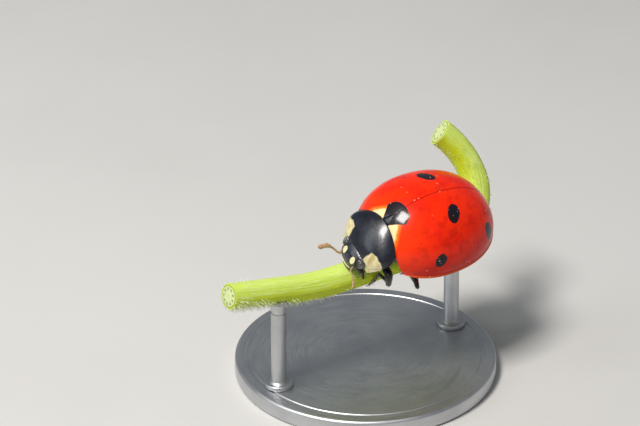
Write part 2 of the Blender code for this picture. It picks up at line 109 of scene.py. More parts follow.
FEMUR_BOWS = {"front": (-0.04, 0.04, 0.13), "middle": (-0.12, 0.0, 0.14), "hind": (-0.05, 0.0, 0.08)}
STRIDE = {"front": 0.30, "middle": -0.34, "hind": 0.30}  # how far ahead the right legs stand
STRIDE_SHARES = (0.0, 0.6, 1.0, 1.0)
BASE_RADIUS = 6.0
BASE_THICKNESS = 0.8
ROD_RADIUS = 0.35
ROD_REACH = 4.8

# Finer sizes of the finished surfaces
SUTURE_HALF_GAP = 0.004
SUTURE_ROUNDING = 0.014
MARGIN_BEAD = (0.030, 0.022, 0.045)  # the wing case's rolled side edge: how far out, how high up, how wide
MARGIN_GROOVE = (0.016, 0.15, 0.06)  # the groove above it, in the same way
MARGIN_TOP = 0.4  # how high up both of them reach
RIM_FADE_START = 0.92  # where the rolled edge begins to run out, as a share of the way to the shoulder
RIM_FADE = 0.85
LIP_START = 0.982  # where the front edge begins to round off
LIP_DROP = 0.10
LIP_LOW = 0.5  # below this height the drop runs out
SIDE_TUCK = 0.03  # how far the front edge turns in at the side
TOP_TUCK = Vector((-0.09, 0, -0.05))  # the same at the top
TUCK_HEIGHT = 0.6  # how high up the one has run into the other
CALLUS = (1.72, 1.98, 0.36, 0.045)  # the shoulder bump: x, y, radius and height
BASE_SLANTS = {"left": 0.08, "right": 0.02}  # how the wing cases' front edge follows the turned pronotum
BASE_GAP = 0.015
PRONOTUM_WALL = 0.14
PRONOTUM_TURN_UNDER = 0.62
FEELER_STOUTNESS = {"left": 0.80, "right": 0.92}
HAIR_ROOM = 0.02  # how deep in the skin the tendril's hairs start
MERGE_DISTANCE = 0.00001

# Camera and lights, in metres and degrees where no unit is named
CAMERA_AZIMUTH = -34.3
CAMERA_ELEVATION = 30.0
CAMERA_DISTANCE = 0.324
CAMERA_AIM = (-4.585, 0.770)  # to the right of the body's place and up from it, in millimetres
LENS = 400  # in millimetres, as is the sensor
SENSOR = 36
LIGHT_REACH = 0.16
FLOOR_HALF = 0.6

BLACK = (0, 0, 0)
WHITE = (1, 1, 1)


# Points and curves ---------------------------------------------------------------------------------------


def between(start, end, share):
    return start + (end - start) * share


def shares(steps):
    """0 to 1 in even steps."""
    return [k / steps for k in range(steps + 1)]


def spaced(start, end, steps):
    """Even steps from start to end, without the start itself."""
    return [between(start, end, share) for share in shares(steps)[1:]]


def turns(count):
    """The angles that part a full turn evenly, from 0."""
    return [2 * math.pi * k / count for k in range(count)]


def ease(share):
    """0 to 1 with a soft start and end."""
    share = min(max(share, 0.0), 1.0)
    return share * share * (3 - 2 * share)


def bell(distance, width):
    """1 at no distance, and next to nothing beyond twice the width."""
    return math.exp(-(distance / width) ** 2)


def ridge(at, size, middle, width):
    """How high a rounded ridge stands at some place across it."""
    return size * bell(at - middle, width)


def fallen(share):
    """How far a quarter-round edge has dropped, where share is 0 at its start and 1 at its end."""
    return 1 - math.sqrt(max(0.0, 1 - max(0.0, share) ** 2))


def oval_reach(c, s, power):
    """How far out a squared oval lies, towards the angle with this cosine and sine."""
    return (abs(c) ** power + abs(s) ** power) ** (-1 / power)


def mirrored(point, side):
    return Vector((point[0], point[1] if side == "left" else -point[1], point[2]))


def bezier(points, share):
    """A point on the curve that starts and ends at the first and last points and is drawn by the others."""
    points = [Vector(point) for point in points]
    while len(points) > 1:
        points = [between(a, b, share) for a, b in zip(points, points[1:])]
    return points[0]


def through(points, place):
    """A point on the smooth curve through all the points, where place counts points from 0."""
    last = len(points) - 1
    i = min(int(place), last - 1)
    t = place - i
    p0, p1, p2, p3 = (Vector(points[min(max(k, 0), last)]) for k in (i - 1, i, i + 1, i + 2))
    return 0.5 * (2 * p1 + (p2 - p0) * t + (2 * p0 - 5 * p1 + 4 * p2 - p3) * t * t
                  + (3 * p1 - p0 - 3 * p2 + p3) * t ** 3)


def smooth_path(points, count):
    return [through(points, (len(points) - 1) * share) for share in shares(count - 1)]


def sided_path(points, side, count):
    return smooth_path([mirrored(point, side) for point in points], count)


def way_at(points, i):
    """The direction in which a path runs at one of its points."""
    return (points[min(i + 1, len(points) - 1)] - points[max(i - 1, 0)]).normalized()


def round_the_way(way, angle):
    """A direction across the way. Where that runs along +x, it turns with the angle from +y down to -z."""
    side = (Vector((0, 1, 0)) - way * way.y).normalized()
    return math.cos(angle) * side + math.sin(angle) * side.cross(way)


def placed(location, rotation_degrees=(0, 0, 0)):
    turn = Euler([math.radians(angle) for angle in rotation_degrees]).to_matrix().to_4x4()
    return Matrix.Translation(location) @ turn


SHARED = Matrix.Scale(MM, 4)
BODY = SHARED @ placed((BODY_X, -RIDE_HEIGHT * math.sin(math.radians(ROLL)),
                        PERCH_HEIGHT + RIDE_HEIGHT * math.cos(math.radians(ROLL))), (-ROLL, 0, 180))
FRONT = BODY @ placed(NECK, (0, 0, HEAD_YAW)) @ placed(-NECK)


# Meshes and pieces ---------------------------------------------------------------------------------------

FLAT = "flat"  # an end of a loft that one face closes
SKINS = {}  # the skins that hair grows from, by slot
SKIN_LAYERS = ("unwrap", "lie", "growth", "own")


def used_up(tool, name):
    """The mesh that the tool has made. The tool can't be used after this."""
    made = bpy.data.meshes.new(name)
    tool.to_mesh(made)
    tool.free()
    return made


def put_in_scene(name, data):
    made = bpy.data.objects.new(name, data)
    bpy.context.scene.collection.objects.link(made)
    return made


def piece(name, mesh, finish, slot, *nodes):
    """A finished piece of the model, which stands for the named solids."""
    for layer in SKIN_LAYERS:
        if layer in mesh.attributes:
            mesh.attributes.remove(mesh.attributes[layer])
    mesh.materials.clear()
    mesh.materials.append(finish)
    made = put_in_scene(name, mesh)
    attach(made, "root")
    if nodes:
        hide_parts(*nodes)


class Shape:
    """A mesh in the making, in millimetres. Its points also know where they lie on the unwrapped skin, which
    way hair lies on them and how thickly it grows."""

    def __init__(self):
        self.tool = bmesh.new()
        layers = self.tool.verts.layers
        self.unwrap = layers.float_vector.new("unwrap")
        self.lie = layers.float_vector.new("lie")
        self.growth = layers.float.new("growth")

    def loft(self, rings, ends=(None, None), patch=(0, 0, 1, 1), growth=0.0):
        """A skin over rings of equal length. An end is open, FLAT, or the point that it narrows to. Patch is
        its place on the unwrapped skin: left, low, width and height."""
        left, low, width, height = patch
        last, count = len(rings) - 1, len(rings[0])
        loops = []
        for i, ring in enumerate(rings):
            loop = []
            for k, point in enumerate(ring):
                made = self.tool.verts.new(point)
                made[self.unwrap] = Vector((left + width * i / last, low + height * k / count, 0))
                made[self.lie] = Vector(rings[min(i + 1, last)][k]) - Vector(rings[max(i - 1, 0)][k])
                made[self.growth] = growth(made.co) if callable(growth) else growth
                loop.append(made)
            loops.append(loop)
        for lower, upper in zip(loops, loops[1:]):
            for k in range(count):
                j = (k + 1) % count
                self.tool.faces.new((lower[k], lower[j], upper[j], upper[k]))
        for loop, end in zip((loops[0], loops[-1]), ends):
            if end == FLAT:
                self.tool.faces.new(loop)
            elif end is not None:
                tip = self.tool.verts.new(end)
                for layer in (self.unwrap, self.lie, self.growth):
                    tip[layer] = loop[0][layer]
                for k in range(count):
                    self.tool.faces.new((loop[k], loop[(k + 1) % count], tip))
        return loops

    def rod(self, path, radii, sides, wide=(0.3, 0.5, 0.81), flatness=1.0, cap_rings=4, **skin):
        """A round-ended rod along a path. Flatness is how thick it is across for its width, along wide."""
        points = [Vector(point) for point in path]
        last = len(points) - 1
        side = Vector(wide)
        quarter = [math.pi / 2 * share for share in shares(cap_rings + 1)[:-1]]
        rings = []
        for i, (point, radius) in enumerate(zip(points, radii)):
            way = way_at(points, i)
            side = (side - way * side.dot(way)).normalized()
            rise = way.cross(side)
            steps = [(0.0, 1.0)]
            if i == 0:
                steps = [(-math.sin(t) * flatness, math.cos(t)) for t in reversed(quarter)]
            elif i == last:
                steps = [(math.sin(t) * flatness, math.cos(t)) for t in quarter]
            for along, out in steps:
                centre = point + way * radius * along
                rings.append([centre + radius * out * (math.cos(t) * side + math.sin(t) * flatness * rise)
                              for t in turns(sides)])
        ends = (points[0] - way_at(points, 0) * radii[0] * flatness,
                points[-1] + way_at(points, last) * radii[-1] * flatness)
        self.loft(rings, ends, **skin)

    def joint(self, path, start, end, thin, thick, growing=1.0, **rod):
        """A rod between two numbered points of a path, which swells from thin to thick."""
        radii = [between(thin, thick, ease(share * growing)) for share in shares(end - start)]
        self.rod(path[start:end + 1], radii, **rod)

    def ball(self, centre, radii, rows, sides, **skin):
        centre = Vector(centre)
        long, wide, high = radii
        rings = []
        for tilt in spaced(0, math.pi, rows)[:-1]:
            rings.append([centre + Vector((-long * math.cos(tilt), wide * math.sin(tilt) * math.cos(t),
                                           high * math.sin(tilt) * math.sin(t))) for t in turns(sides)])
        self.loft(rings, (centre - Vector((long, 0, 0)), centre + Vector((long, 0, 0))), **skin)

    def mesh(self, name, place, sharp_degrees=40.0):
        """The finished mesh in metres, faces out. A place that mirrors is allowed."""
        bmesh.ops.remove_doubles(self.tool, verts=self.tool.verts, dist=MERGE_DISTANCE)
        turn = place.to_3x3()
        for vert in self.tool.verts:
            vert[self.lie] = (turn @ vert[self.lie]).normalized()
        bmesh.ops.transform(self.tool, matrix=place, verts=self.tool.verts)
        bmesh.ops.recalc_face_normals(self.tool, faces=self.tool.faces)
        made = used_up(self.tool, name)
        made.shade_smooth()
        made.set_sharp_from_angle(angle=math.radians(sharp_degrees))
        return made

    def piece(self, name, place, finish, slot, *nodes, hairy=False, sharp_degrees=40.0):
        """Makes the shape a piece of the model, and keeps a copy of its skin for hair to grow from."""
        mesh = self.mesh(name, place, sharp_degrees)
        if hairy:
            SKINS.setdefault(slot, []).append(mesh.copy())
        piece(name, mesh, finish, slot, *nodes)


# Node trees ----------------------------------------------------------------------------------------------


class Value:
    """What a node works out. Numbers can be added, subtracted, multiplied, divided and raised to a power."""

    def __init__(self, tree, socket):
        self.tree = tree
        self.socket = socket

    def __add__(self, other):
        return figure("ADD", self, other)

    def __sub__(self, other):
        return figure("SUBTRACT", self, other)

    def __rsub__(self, other):
        return figure("SUBTRACT", other, self)

    def __mul__(self, other):
        return figure("MULTIPLY", self, other)

    def __truediv__(self, other):
        return figure("DIVIDE", self, other)

    def __rtruediv__(self, other):
        return figure("DIVIDE", other, self)

    def __pow__(self, other):
        return figure("POWER", self, other)


class Node:
    """A node with its settings and inputs. Its outputs are read by name or number, each as a Value."""

    def __init__(self, tree, kind, inputs=(), **settings):
        self.tree = tree
        self.made = tree.nodes.new(kind)
        for name, value in settings.items():
            setattr(self.made, name, value)
        for key, value in dict(inputs).items():
            self.feed(key, value)

    def feed(self, key, value):
        """Sets an input, or links it to what another node works out."""
        if isinstance(value, Value):
            self.tree.links.new(value.socket, self.made.inputs[key])
        else:
            self.made.inputs[key].default_value = value

    def __getitem__(self, key):
        return Value(self.tree, self.made.outputs[key])


def figure(operation, *numbers):
    """A sum on one or two numbers, at least one of which a node works out."""
    tree = next(number.tree for number in numbers if isinstance(number, Value))
    return Node(tree, "ShaderNodeMath", enumerate(numbers), operation=operation)[0]


def vectors(operation, *given, output=0):
    return Node(given[0].tree, "ShaderNodeVectorMath", enumerate(given), operation=operation)[output]


def scaled(vector, factor):
    return Node(vector.tree, "ShaderNodeVectorMath", {0: vector, "Scale": factor}, operation="SCALE")[0]


def length_of(vector):
    return vectors("LENGTH", vector, output=1)


def parts_of(vector):
    made = Node(vector.tree, "ShaderNodeSeparateXYZ", {0: vector})
    return made[0], made[1], made[2]


def vector_of(tree, *numbers):
    return Node(tree, "ShaderNodeCombineXYZ", enumerate(numbers))[0]


def fade(value, start, end, low=0.0, high=1.0):
    """Low where the value is at start, high where it is at end, and soft in between."""
    return Node(value.tree, "ShaderNodeMapRange", {0: value, 1: start, 2: end, 3: low, 4: high},
                interpolation_type="SMOOTHSTEP")[0]


def solid(colour):
    """A colour as a socket takes it."""
    return colour if isinstance(colour, Value) else (*colour, 1.0)


def mixed(share, first, second):
    """The second colour over the first, by this share."""
    inputs = {0: share, 6: solid(first), 7: solid(second)}
    return Node(share.tree, "ShaderNodeMix", inputs, data_type="RGBA")[2]


def grain(place, **inputs):
    """Noise, with a number as Fac and three as Color."""
    return Node(place.tree, "ShaderNodeTexNoise", {"Vector": place, **inputs})


SOCKETS = {"number": "NodeSocketFloat", "vector": "NodeSocketVector", "colour": "NodeSocketColor",
           "whole": "NodeSocketInt", "finish": "NodeSocketMaterial", "shape": "NodeSocketGeometry"}


def new_tree(name, kind, inputs, outputs):
    """A node tree with named sockets, its input node and its output node."""
    tree = bpy.data.node_groups.new(name, kind)
    for direction, sockets in (("INPUT", inputs), ("OUTPUT", outputs)):
        for socket_name, word, *value in sockets:
            made = tree.interface.new_socket(socket_name, in_out=direction, socket_type=SOCKETS[word])
            if value:
                made.default_value = value[0]
    return tree, Node(tree, "NodeGroupInput"), Node(tree, "NodeGroupOutput")


# Effects that the materials share ------------------------------------------------------------------------


def oval_spot_group():
    """A spot with a soft, slightly uneven edge: 1 inside and 0 outside."""
    tree, given, result = new_tree("oval_spot", "ShaderNodeTree", (
        ("Place", "vector"), ("Centre", "vector"), ("Turn", "vector"), ("Radii", "vector", (1, 1, 1)),
        ("Edge", "number", 0.05), ("Wobble", "number", 0.05)), (("Mask", "number"),))
    sway = vectors("SUBTRACT", grain(given["Place"], Scale=5.0, Detail=3.0)["Color"], (0.5, 0.5, 0.5))
    moved = vectors("ADD", given["Place"], scaled(sway, given["Wobble"]))
    local = Node(tree, "ShaderNodeMapping", {
        "Vector": moved, "Location": given["Centre"], "Rotation": given["Turn"], "Scale": given["Radii"]},
        vector_type="TEXTURE")[0]
    result.feed("Mask", fade(length_of(local), given["Edge"] + 1.0, 1.0 - given["Edge"]))
    return tree


def edge_side_group():
    """1 on the side of a plane that its direction points to, 0 on the other, with a soft uneven edge."""
    tree, given, result = new_tree("edge_side", "ShaderNodeTree", (
        ("Place", "vector"), ("Point", "vector"), ("Direction", "vector", (1, 0, 0)),
        ("Edge", "number", 0.02), ("Wobble", "number", 0.05)), (("Mask", "number"),))
    away = vectors("SUBTRACT", given["Place"], given["Point"])
    depth = vectors("DOT_PRODUCT", away, vectors("NORMALIZE", given["Direction"]), output=1)
    sway = (grain(given["Place"], Scale=4.0, Detail=3.0)["Fac"] - 0.5) * given["Wobble"]
    result.feed("Mask", fade(depth + sway, given["Edge"] * -1.0, given["Edge"]))
    return tree


def punctures_group():
    """The fine pits of beetle shell: Pit is 1 in the middle of a pit, Height is the pitted surface."""
    tree, given, result = new_tree("punctures", "ShaderNodeTree", (
        ("Place", "vector"), ("Spacing", "number", 0.1), ("Width", "number", 0.3),
        ("Unevenness", "number", 0.4)), (("Pit", "number"), ("Height", "number")))
    cells = Node(tree, "ShaderNodeTexVoronoi", {
        "Vector": given["Place"], "Scale": 1.0 / given["Spacing"], "Randomness": 0.8})
    width = given["Width"] * fade(cells["Color"], 0, 1, low=0.6, high=1.2)
    pit = fade(cells["Distance"], width, 0.0)
    swell = grain(given["Place"], Scale=1.1, Detail=2.0)["Fac"]
    result.feed("Pit", pit)
    result.feed("Height", swell * given["Unevenness"] - pit)
    return tree


def mottle_group():
    """Two colours that run into each other in clouds. Clouds is their share, for roughness."""
    tree, given, result = new_tree("mottle", "ShaderNodeTree", (
        ("Place", "vector"), ("Size", "number", 1.0), ("First", "colour", solid(WHITE)),
        ("Second", "colour", solid(BLACK)), ("Amount", "number", 0.5), ("Detail", "number", 5.0)),
        (("Colour", "colour"), ("Clouds", "number")))
    cloudy = grain(given["Place"], Scale=1.0 / given["Size"], Detail=given["Detail"], Roughness=0.6)
    clouds = fade(cloudy["Fac"], 0.38, 0.68)
    result.feed("Colour", mixed(clouds * given["Amount"], given["First"], given["Second"]))
    result.feed("Clouds", clouds)
    return tree


def dust_group():
    """Sparse pale grains of pollen and dust: 1 on a grain."""
    tree, given, result = new_tree("dust", "ShaderNodeTree", (
        ("Place", "vector"), ("Spacing", "number", 0.3), ("Size", "number", 0.1), ("Share", "number", 0.2)),
        (("Mask", "number"),))
    cells = Node(tree, "ShaderNodeTexVoronoi", {"Vector": given["Place"], "Scale": 1.0 / given["Spacing"]})
    speck = fade(cells["Distance"], given["Size"], given["Size"] * 0.6)
    kept = figure("LESS_THAN", parts_of(cells["Color"])[0], given["Share"])
    drift = fade(grain(given["Place"], Scale=0.9)["Fac"], 0.45, 0.6)
    result.feed("Mask", speck * kept * drift)
    return tree


GROUPS = {"spot": oval_spot_group(), "side": edge_side_group(), "punctures": punctures_group(),
          "mottle": mottle_group(), "dust": dust_group()}


def effect(name, place, **inputs):
    return Node(place.tree, "ShaderNodeGroup", {"Place": place, **inputs}, node_tree=GROUPS[name])


def mottle(place, size, first=BLACK, second=WHITE, amount=1.0, detail=5.0):
    return effect("mottle", place, Size=size, First=solid(first), Second=solid(second), Amount=amount,
                  Detail=detail)


def spot(place, centre, radii, edge, wobble, turn=(0, 0, 0)):
    return effect("spot", place, Centre=centre, Turn=turn, Radii=radii, Edge=edge, Wobble=wobble)[0]


def side_of(place, point, direction, edge, wobble):
    return effect("side", place, Point=point, Direction=direction, Edge=edge, Wobble=wobble)[0]


def pitted(place, spacing, width, unevenness):
    return effect("punctures", place, Spacing=spacing, Width=width, Unevenness=unevenness)


def dusted(place, spacing, size, share):
    return effect("dust", place, Spacing=spacing, Size=size, Share=share)[0]


# Materials -----------------------------------------------------------------------------------------------


class Finish:
    """A material in the making. Place tells where each spot lies in the piece's own frame, and mirrored does
    the same with the right side of the body laid on the left."""

    def __init__(self, name, frame_of_piece, **constants):
        self.material = bpy.data.materials.new(name)
        self.material.use_nodes = True
        self.tree = self.material.node_tree
        self.shader = self.tree.nodes["Principled BSDF"]
        for key, value in constants.items():
            self.shader.inputs[key.replace("_", " ")].default_value = value
        self.coordinates = Node(self.tree, "ShaderNodeTexCoord")
        self.place = Node(self.tree, "ShaderNodeMapping", {
            "Vector": self.coordinates["Object"], "Location": frame_of_piece.translation,
            "Rotation": frame_of_piece.to_euler(), "Scale": (MM, MM, MM)}, vector_type="TEXTURE")[0]

    @property
    def mirrored(self):
        x, y, z = parts_of(self.place)
        return vector_of(self.tree, x, figure("ABSOLUTE", y), z)

    def feed(self, key, value):
        self.tree.links.new(value.socket, self.shader.inputs[key])

    def bump(self, *layers):
        """Each layer is a height and how deep it is, in millimetres."""
        below = {}
        for height, depth in layers:
            bumped = Node(self.tree, "ShaderNodeBump", {
                "Height": height, "Distance": depth * MM, "Strength": 1.0, **below})[0]
            below = {"Normal": bumped}
        self.feed("Normal", bumped)


def spot_on_dome(x, y, along, across, turn_degrees):
    """A spot that lies on the wing case's dome, its long axis turned from the body's."""
    step = 0.02
    height = dome_height(x, y, 0)
    slope_x = (dome_height(x + step, y, 0) - dome_height(x - step, y, 0)) / (2 * step)
    slope_y = (dome_height(x, y + step, 0) - dome_height(x, y - step, 0)) / (2 * step)
    up = Vector((-slope_x, -slope_y, 1)).normalized()
    turn = math.radians(turn_degrees)
    heading = Vector((math.cos(turn), math.sin(turn), slope_x * math.cos(turn) + slope_y * math.sin(turn)))
    heading.normalize()
    basis = Matrix((heading, up.cross(heading), up)).transposed()
    return {"centre": Vector((x, y, height)), "turn": Vector(basis.to_euler()),
            "radii": Vector((along, across, SPOT_DEPTH))}


SPOT_DEPTH = 0.8
CASE_SPOTS = (  # x, y, half length, half width, and how far its length is turned out from the body's
    (-0.45, 1.20, 0.47, 0.31, 62),
    (0.70, 2.50, 0.34, 0.27, 30),
    (-2.34, 1.86, 0.44, 0.30, 122),
)
SHIELD_SPOT = {"front": 1.90, "middle": 0.04, "length": 0.46, "half width": 0.68, "power": 2.2}


def shield_spot(x, y, cream):
    """The spot that both wing cases share behind the scutellum: an oval's rear half, cut off by the cream."""
    behind = figure("MAXIMUM", SHIELD_SPOT["front"] - x, 0.0) / SHIELD_SPOT["length"]
    aside = figure("ABSOLUTE", y - SHIELD_SPOT["middle"]) / SHIELD_SPOT["half width"]
    power = SHIELD_SPOT["power"]
    return fade(behind ** power + aside ** power, 1.10, 0.90) * (1.0 - cream)


def wing_case_finish():
    made = Finish("ladybird_red_shell", BODY, Roughness=0.34, Coat_Weight=0.5, Coat_Roughness=0.12,
                  Coat_IOR=1.4, Specular_IOR_Level=0.08)
    place = made.mirrored
    x, y, z = parts_of(place)
    base = mottle(made.place, 0.9, (0.92, 0.024, 0.0008), (0.74, 0.008, 0.0006), amount=0.75)
    smudges = mottle(made.place, 0.42, detail=1.6)
    colour = base["Colour"]
    for share, over in (
            (fade(z, 1.25, 0.10, high=0.62), (0.42, 0.003, 0.0005)),  # painted shade: darker down the flanks towards the lower edge
            (fade(smudges["Clouds"], 0.40, 1.0, high=0.30), (0.34, 0.008, 0.002)),
            (fade(x, 0.9, 2.3, high=0.26), (0.95, 0.075, 0.004)),  # warmer towards the front
            (fade(y, 0.07, 0.02, high=0.55), (0.42, 0.010, 0.002)),  # painted shade: darker in the seam along the suture
            (fade(z, 0.10, 0.05, high=0.55), (0.90, 0.17, 0.02)),  # the rolled edge
            (fade(z, 0.005, -0.02, high=0.8), (0.36, 0.05, 0.012))):  # below it
        colour = mixed(share, colour, over)

    cream_out = side_of(place, (2.09, 0.55, 0), (1.35, -1.0, 0), edge=0.045, wobble=0.12)
    cream_in = side_of(place, (2.32, 0.27, 0), (0.93, 1.0, 0), edge=0.015, wobble=0.05)
    glow_out = side_of(place, (2.06, 0.72, 0), (1.2, -1.0, 0), edge=0.12, wobble=0.14)
    colour = mixed(glow_out * cream_in, colour, (0.96, 0.22, 0.02))
    colour = mixed(cream_out * cream_in, colour, (0.88, 0.66, 0.34))

    masks = [spot(place, **spot_on_dome(*row), edge=0.06, wobble=0.10) for row in CASE_SPOTS]
    dark = masks[0]
    for mask in masks[1:] + [shield_spot(x, parts_of(made.place)[1], cream_in)]:
        dark = figure("MAXIMUM", dark, mask)
    colour = mixed(fade(dark, 0.0, 0.6, high=0.5), colour, (0.42, 0.012, 0.004))
    colour = mixed(fade(dark, 0.30, 0.75), colour, (0.010, 0.007, 0.012))

    dust = dusted(made.place, spacing=0.19, size=0.20, share=0.17)
    colour = mixed(dust * 0.8, colour, (0.88, 0.62, 0.36))
    specks = dusted(made.place, spacing=0.10, size=0.26, share=0.30) * fade(dark, 0.6, 0.9, high=0.75)
    made.feed("Base Color", mixed(specks, colour, (0.50, 0.50, 0.55)))
    made.feed("Coat Weight", fade(dark, 0.3, 0.75, low=0.45, high=0.65))

    pits = pitted(made.place, spacing=0.065, width=0.40, unevenness=0.4)
    rough = fade(base["Clouds"], 0.0, 1.0, low=0.30, high=0.42)
    made.feed("Roughness", figure("MAXIMUM", rough, dust * 0.7))
    made.bump((pits["Height"], 0.0032), (dust, 0.008))
    return made.material


def pronotum_finish():
    made = Finish("ladybird_black_shield", FRONT, Roughness=0.40, Coat_Weight=0.40, Coat_Roughness=0.16,
                  Specular_IOR_Level=0.42)
    place = made.mirrored
    # Black, tinted blue: the blue is painted sky reflection.
    base = mottle(made.place, 0.5, (0.003, 0.004, 0.009), (0.008, 0.012, 0.025), amount=0.8)
    upper = side_of(place, (3.30, 0.85, 0.5), (0.50, 1.0, 0.0), edge=0.04, wobble=0.12)
    rear = side_of(place, (3.30, 0.93, 0.70), (1.0, 0.26, 0.0), edge=0.02, wobble=0.12)
    cream = upper * rear
    pale = mottle(made.place, 0.22, (0.66, 0.60, 0.34), (0.47, 0.36, 0.17), amount=0.7)
    stain = spot(made.place, (3.38, 1.00, 0.46), (0.17, 0.12, 0.30), edge=0.7, wobble=0.25, turn=(0, 0, 0.5))
    marking = mixed(stain * 0.75, pale["Colour"], (0.34, 0.25, 0.07))
    # Painted highlight: a small pale glint behind each cream mark.
    painted_glint = spot(place, (3.03, 1.37, 0.62), (0.06, 0.06, 0.09), edge=0.3, wobble=0.04)
    dust = dusted(made.place, spacing=0.16, size=0.12, share=0.10)
    colour = mixed(cream, base["Colour"], marking)
    colour = mixed(painted_glint * 0.6, colour, (0.55, 0.52, 0.36))
    made.feed("Base Color", mixed(dust * 0.55, colour, (0.55, 0.52, 0.45)))
    pits = pitted(made.place, spacing=0.044, width=0.42, unevenness=0.5)
    waves = mottle(made.place, 0.09)
    rough = fade(base["Clouds"], 0.0, 1.0, low=0.32, high=0.42)
    made.feed("Roughness", figure("MAXIMUM", rough, cream * 0.5))
    made.bump((pits["Height"], 0.0020), (waves["Clouds"], 0.0026), (dust, 0.006))
    return made.material


def horny(made, base, colour, rough, bump_depth, **pits):
    """Ends a finish like horn: its colour, uneven gloss from the clouds of its base, and fine pits."""
    made.feed("Base Color", colour)
    made.feed("Roughness", fade(base["Clouds"], 0.0, 1.0, *rough))
    made.bump((pitted(made.place, **pits)["Height"], bump_depth))
    return made.material


def head_finish():
    made = Finish("ladybird_black_head", FRONT, Roughness=0.34, Coat_Weight=0.45, Coat_Roughness=0.16,
                  Specular_IOR_Level=0.42)
    # Black, tinted blue: the blue is painted sky reflection.
    base = mottle(made.place, 0.3, (0.005, 0.006, 0.013), (0.017, 0.020, 0.038), amount=0.8)
    cream = spot(made.mirrored, (3.88, 0.353, -0.175), (0.5, 0.132, 0.185), edge=0.12, wobble=0.05)
    pale = mottle(made.place, 0.12, (0.78, 0.72, 0.42), (0.52, 0.44, 0.20), amount=0.5)
    return horny(made, base, mixed(cream, base["Colour"], pale["Colour"]), (0.28, 0.44), 0.0025,
                 spacing=0.040, width=0.42, unevenness=0.6)


def underside_finish():
    made = Finish("ladybird_black_underside", BODY, Roughness=0.4, Coat_Weight=0.25, Coat_Roughness=0.2,
                  Specular_IOR_Level=0.5)
    base = mottle(made.place, 0.35, (0.010, 0.009, 0.010), (0.035, 0.028, 0.024), amount=0.8)
    patch = spot(made.mirrored, (1.72, 1.52, -0.22), (0.26, 0.17, 0.25), edge=0.15, wobble=0.12,
                 turn=(0, 0, 0.6))
    return horny(made, base, mixed(patch, base["Colour"], (0.72, 0.66, 0.48)), (0.34, 0.5), 0.007,
                 spacing=0.075, width=0.34, unevenness=0.7)


def plain_finish(name, frame_of_piece, first, second, size, rough=(0.3, 0.45), bump_depth=0.004, **constants):
    """A horn-like finish of two colours in clouds."""
    made = Finish("ladybird_" + name, frame_of_piece, **constants)
    base = mottle(made.place, size, first, second, amount=0.8)
    return horny(made, base, base["Colour"], rough, bump_depth, spacing=0.05, width=0.35, unevenness=0.8)


def tendril_finish():
    made = Finish("tendril_green_skin", SHARED, Roughness=0.42, Specular_IOR_Level=0.28,
                  Subsurface_Weight=0.25, Subsurface_Radius=(0.0004, 0.0005, 0.00008), Subsurface_Scale=1.0)
    trace = Node(made.tree, "ShaderNodeAttribute", attribute_name="trace")["Vector"]
    stretched = Node(made.tree, "ShaderNodeMapping", {"Vector": trace, "Scale": (1.0, 1.0, 0.12)})[0]
    # Painted light: the upward-facing side is painted paler, with pale streaks as painted highlights; the
    # underside keeps the deep green.
    up = parts_of(made.coordinates["Normal"])[2]
    painted_top_light = up + (grain(stretched, Scale=7.0, Detail=5.0)["Fac"] - 0.5) * 0.9
    colour = mixed(fade(painted_top_light, 0.0, 0.75), (0.54, 0.65, 0.004), (0.58, 0.74, 0.11))
    streaks = mottle(stretched, 0.12)["Clouds"]
    colour = mixed(streaks * fade(painted_top_light, 0.1, 0.6, low=0.08, high=0.45), colour, (0.76, 0.87, 0.38))
    cells = pitted(made.place, spacing=0.055, width=0.45, unevenness=0.3)
    made.feed("Base Color", mixed(cells["Pit"] * 0.22, colour, (0.80, 0.88, 0.42)))
    made.feed("Roughness", fade(streaks, 0.0, 1.0, low=0.34, high=0.52))
    made.bump((streaks, 0.010), (cells["Height"] * -1.0, 0.008))
    return made.material


def tendril_cut_finish():
    """The cut face, on its own UV map: a pale pith, a ring of darker bundles and a green rind."""
    bundles, ring_radius, ring_width = 9.0, 0.62, 0.12
    made = Finish("tendril_cut_face", SHARED, Roughness=0.5, Subsurface_Weight=0.3,
                  Subsurface_Radius=(0.0004, 0.0005, 0.0001), Subsurface_Scale=1.0)
    centred = vectors("SUBTRACT", Node(made.tree, "ShaderNodeUVMap", uv_map="face")[0], (0.5, 0.5, 0))
    out = length_of(centred) * 2.0
    x, y, _ = parts_of(centred)
    beat = figure("COSINE", figure("ARCTAN2", y, x) * bundles)
    from_ring = ((out - ring_radius) / ring_width) ** 2.0
    bundle = fade(from_ring + (1.0 - beat) * 0.9, 1.3, 0.5)
    base = mottle(made.place, 0.12, (0.66, 0.76, 0.36), (0.50, 0.62, 0.20), amount=0.8)
    colour = mixed(bundle, base["Colour"], (0.26, 0.36, 0.07))
    made.feed("Base Color", mixed(fade(out, 0.80, 0.90), colour, (0.32, 0.46, 0.03)))
    made.bump((pitted(made.place, spacing=0.05, width=0.5, unevenness=0.2)["Height"], 0.012))
    return made.material


def steel_finish(name, streak_scale, turned):
    """Satin steel. Streaks run round the middle of the base where it is turned, and along a rod where not."""
    made = Finish(name, SHARED, Metallic=1.0, Roughness=0.3)
    place = made.place
    if turned:
        x, y, z = parts_of(place)
        radius = figure("SQRT", x * x + y * y)
        place = vector_of(made.tree, radius, z, figure("ARCTAN2", y, x) * 0.3)
    lines = Node(made.tree, "ShaderNodeMapping", {"Vector": place, "Scale": streak_scale})[0]
    streaks = grain(lines, Scale=9.0, Detail=3.0)["Fac"]
    clouds = mottle(made.place, 1.6, (0.58, 0.59, 0.60), (0.48, 0.49, 0.51), amount=0.7)
    made.feed("Base Color", clouds["Colour"])
    made.feed("Roughness", fade(streaks, 0.3, 0.7, low=0.34, high=0.50))
    made.bump((streaks, 0.0012))
    return made.material


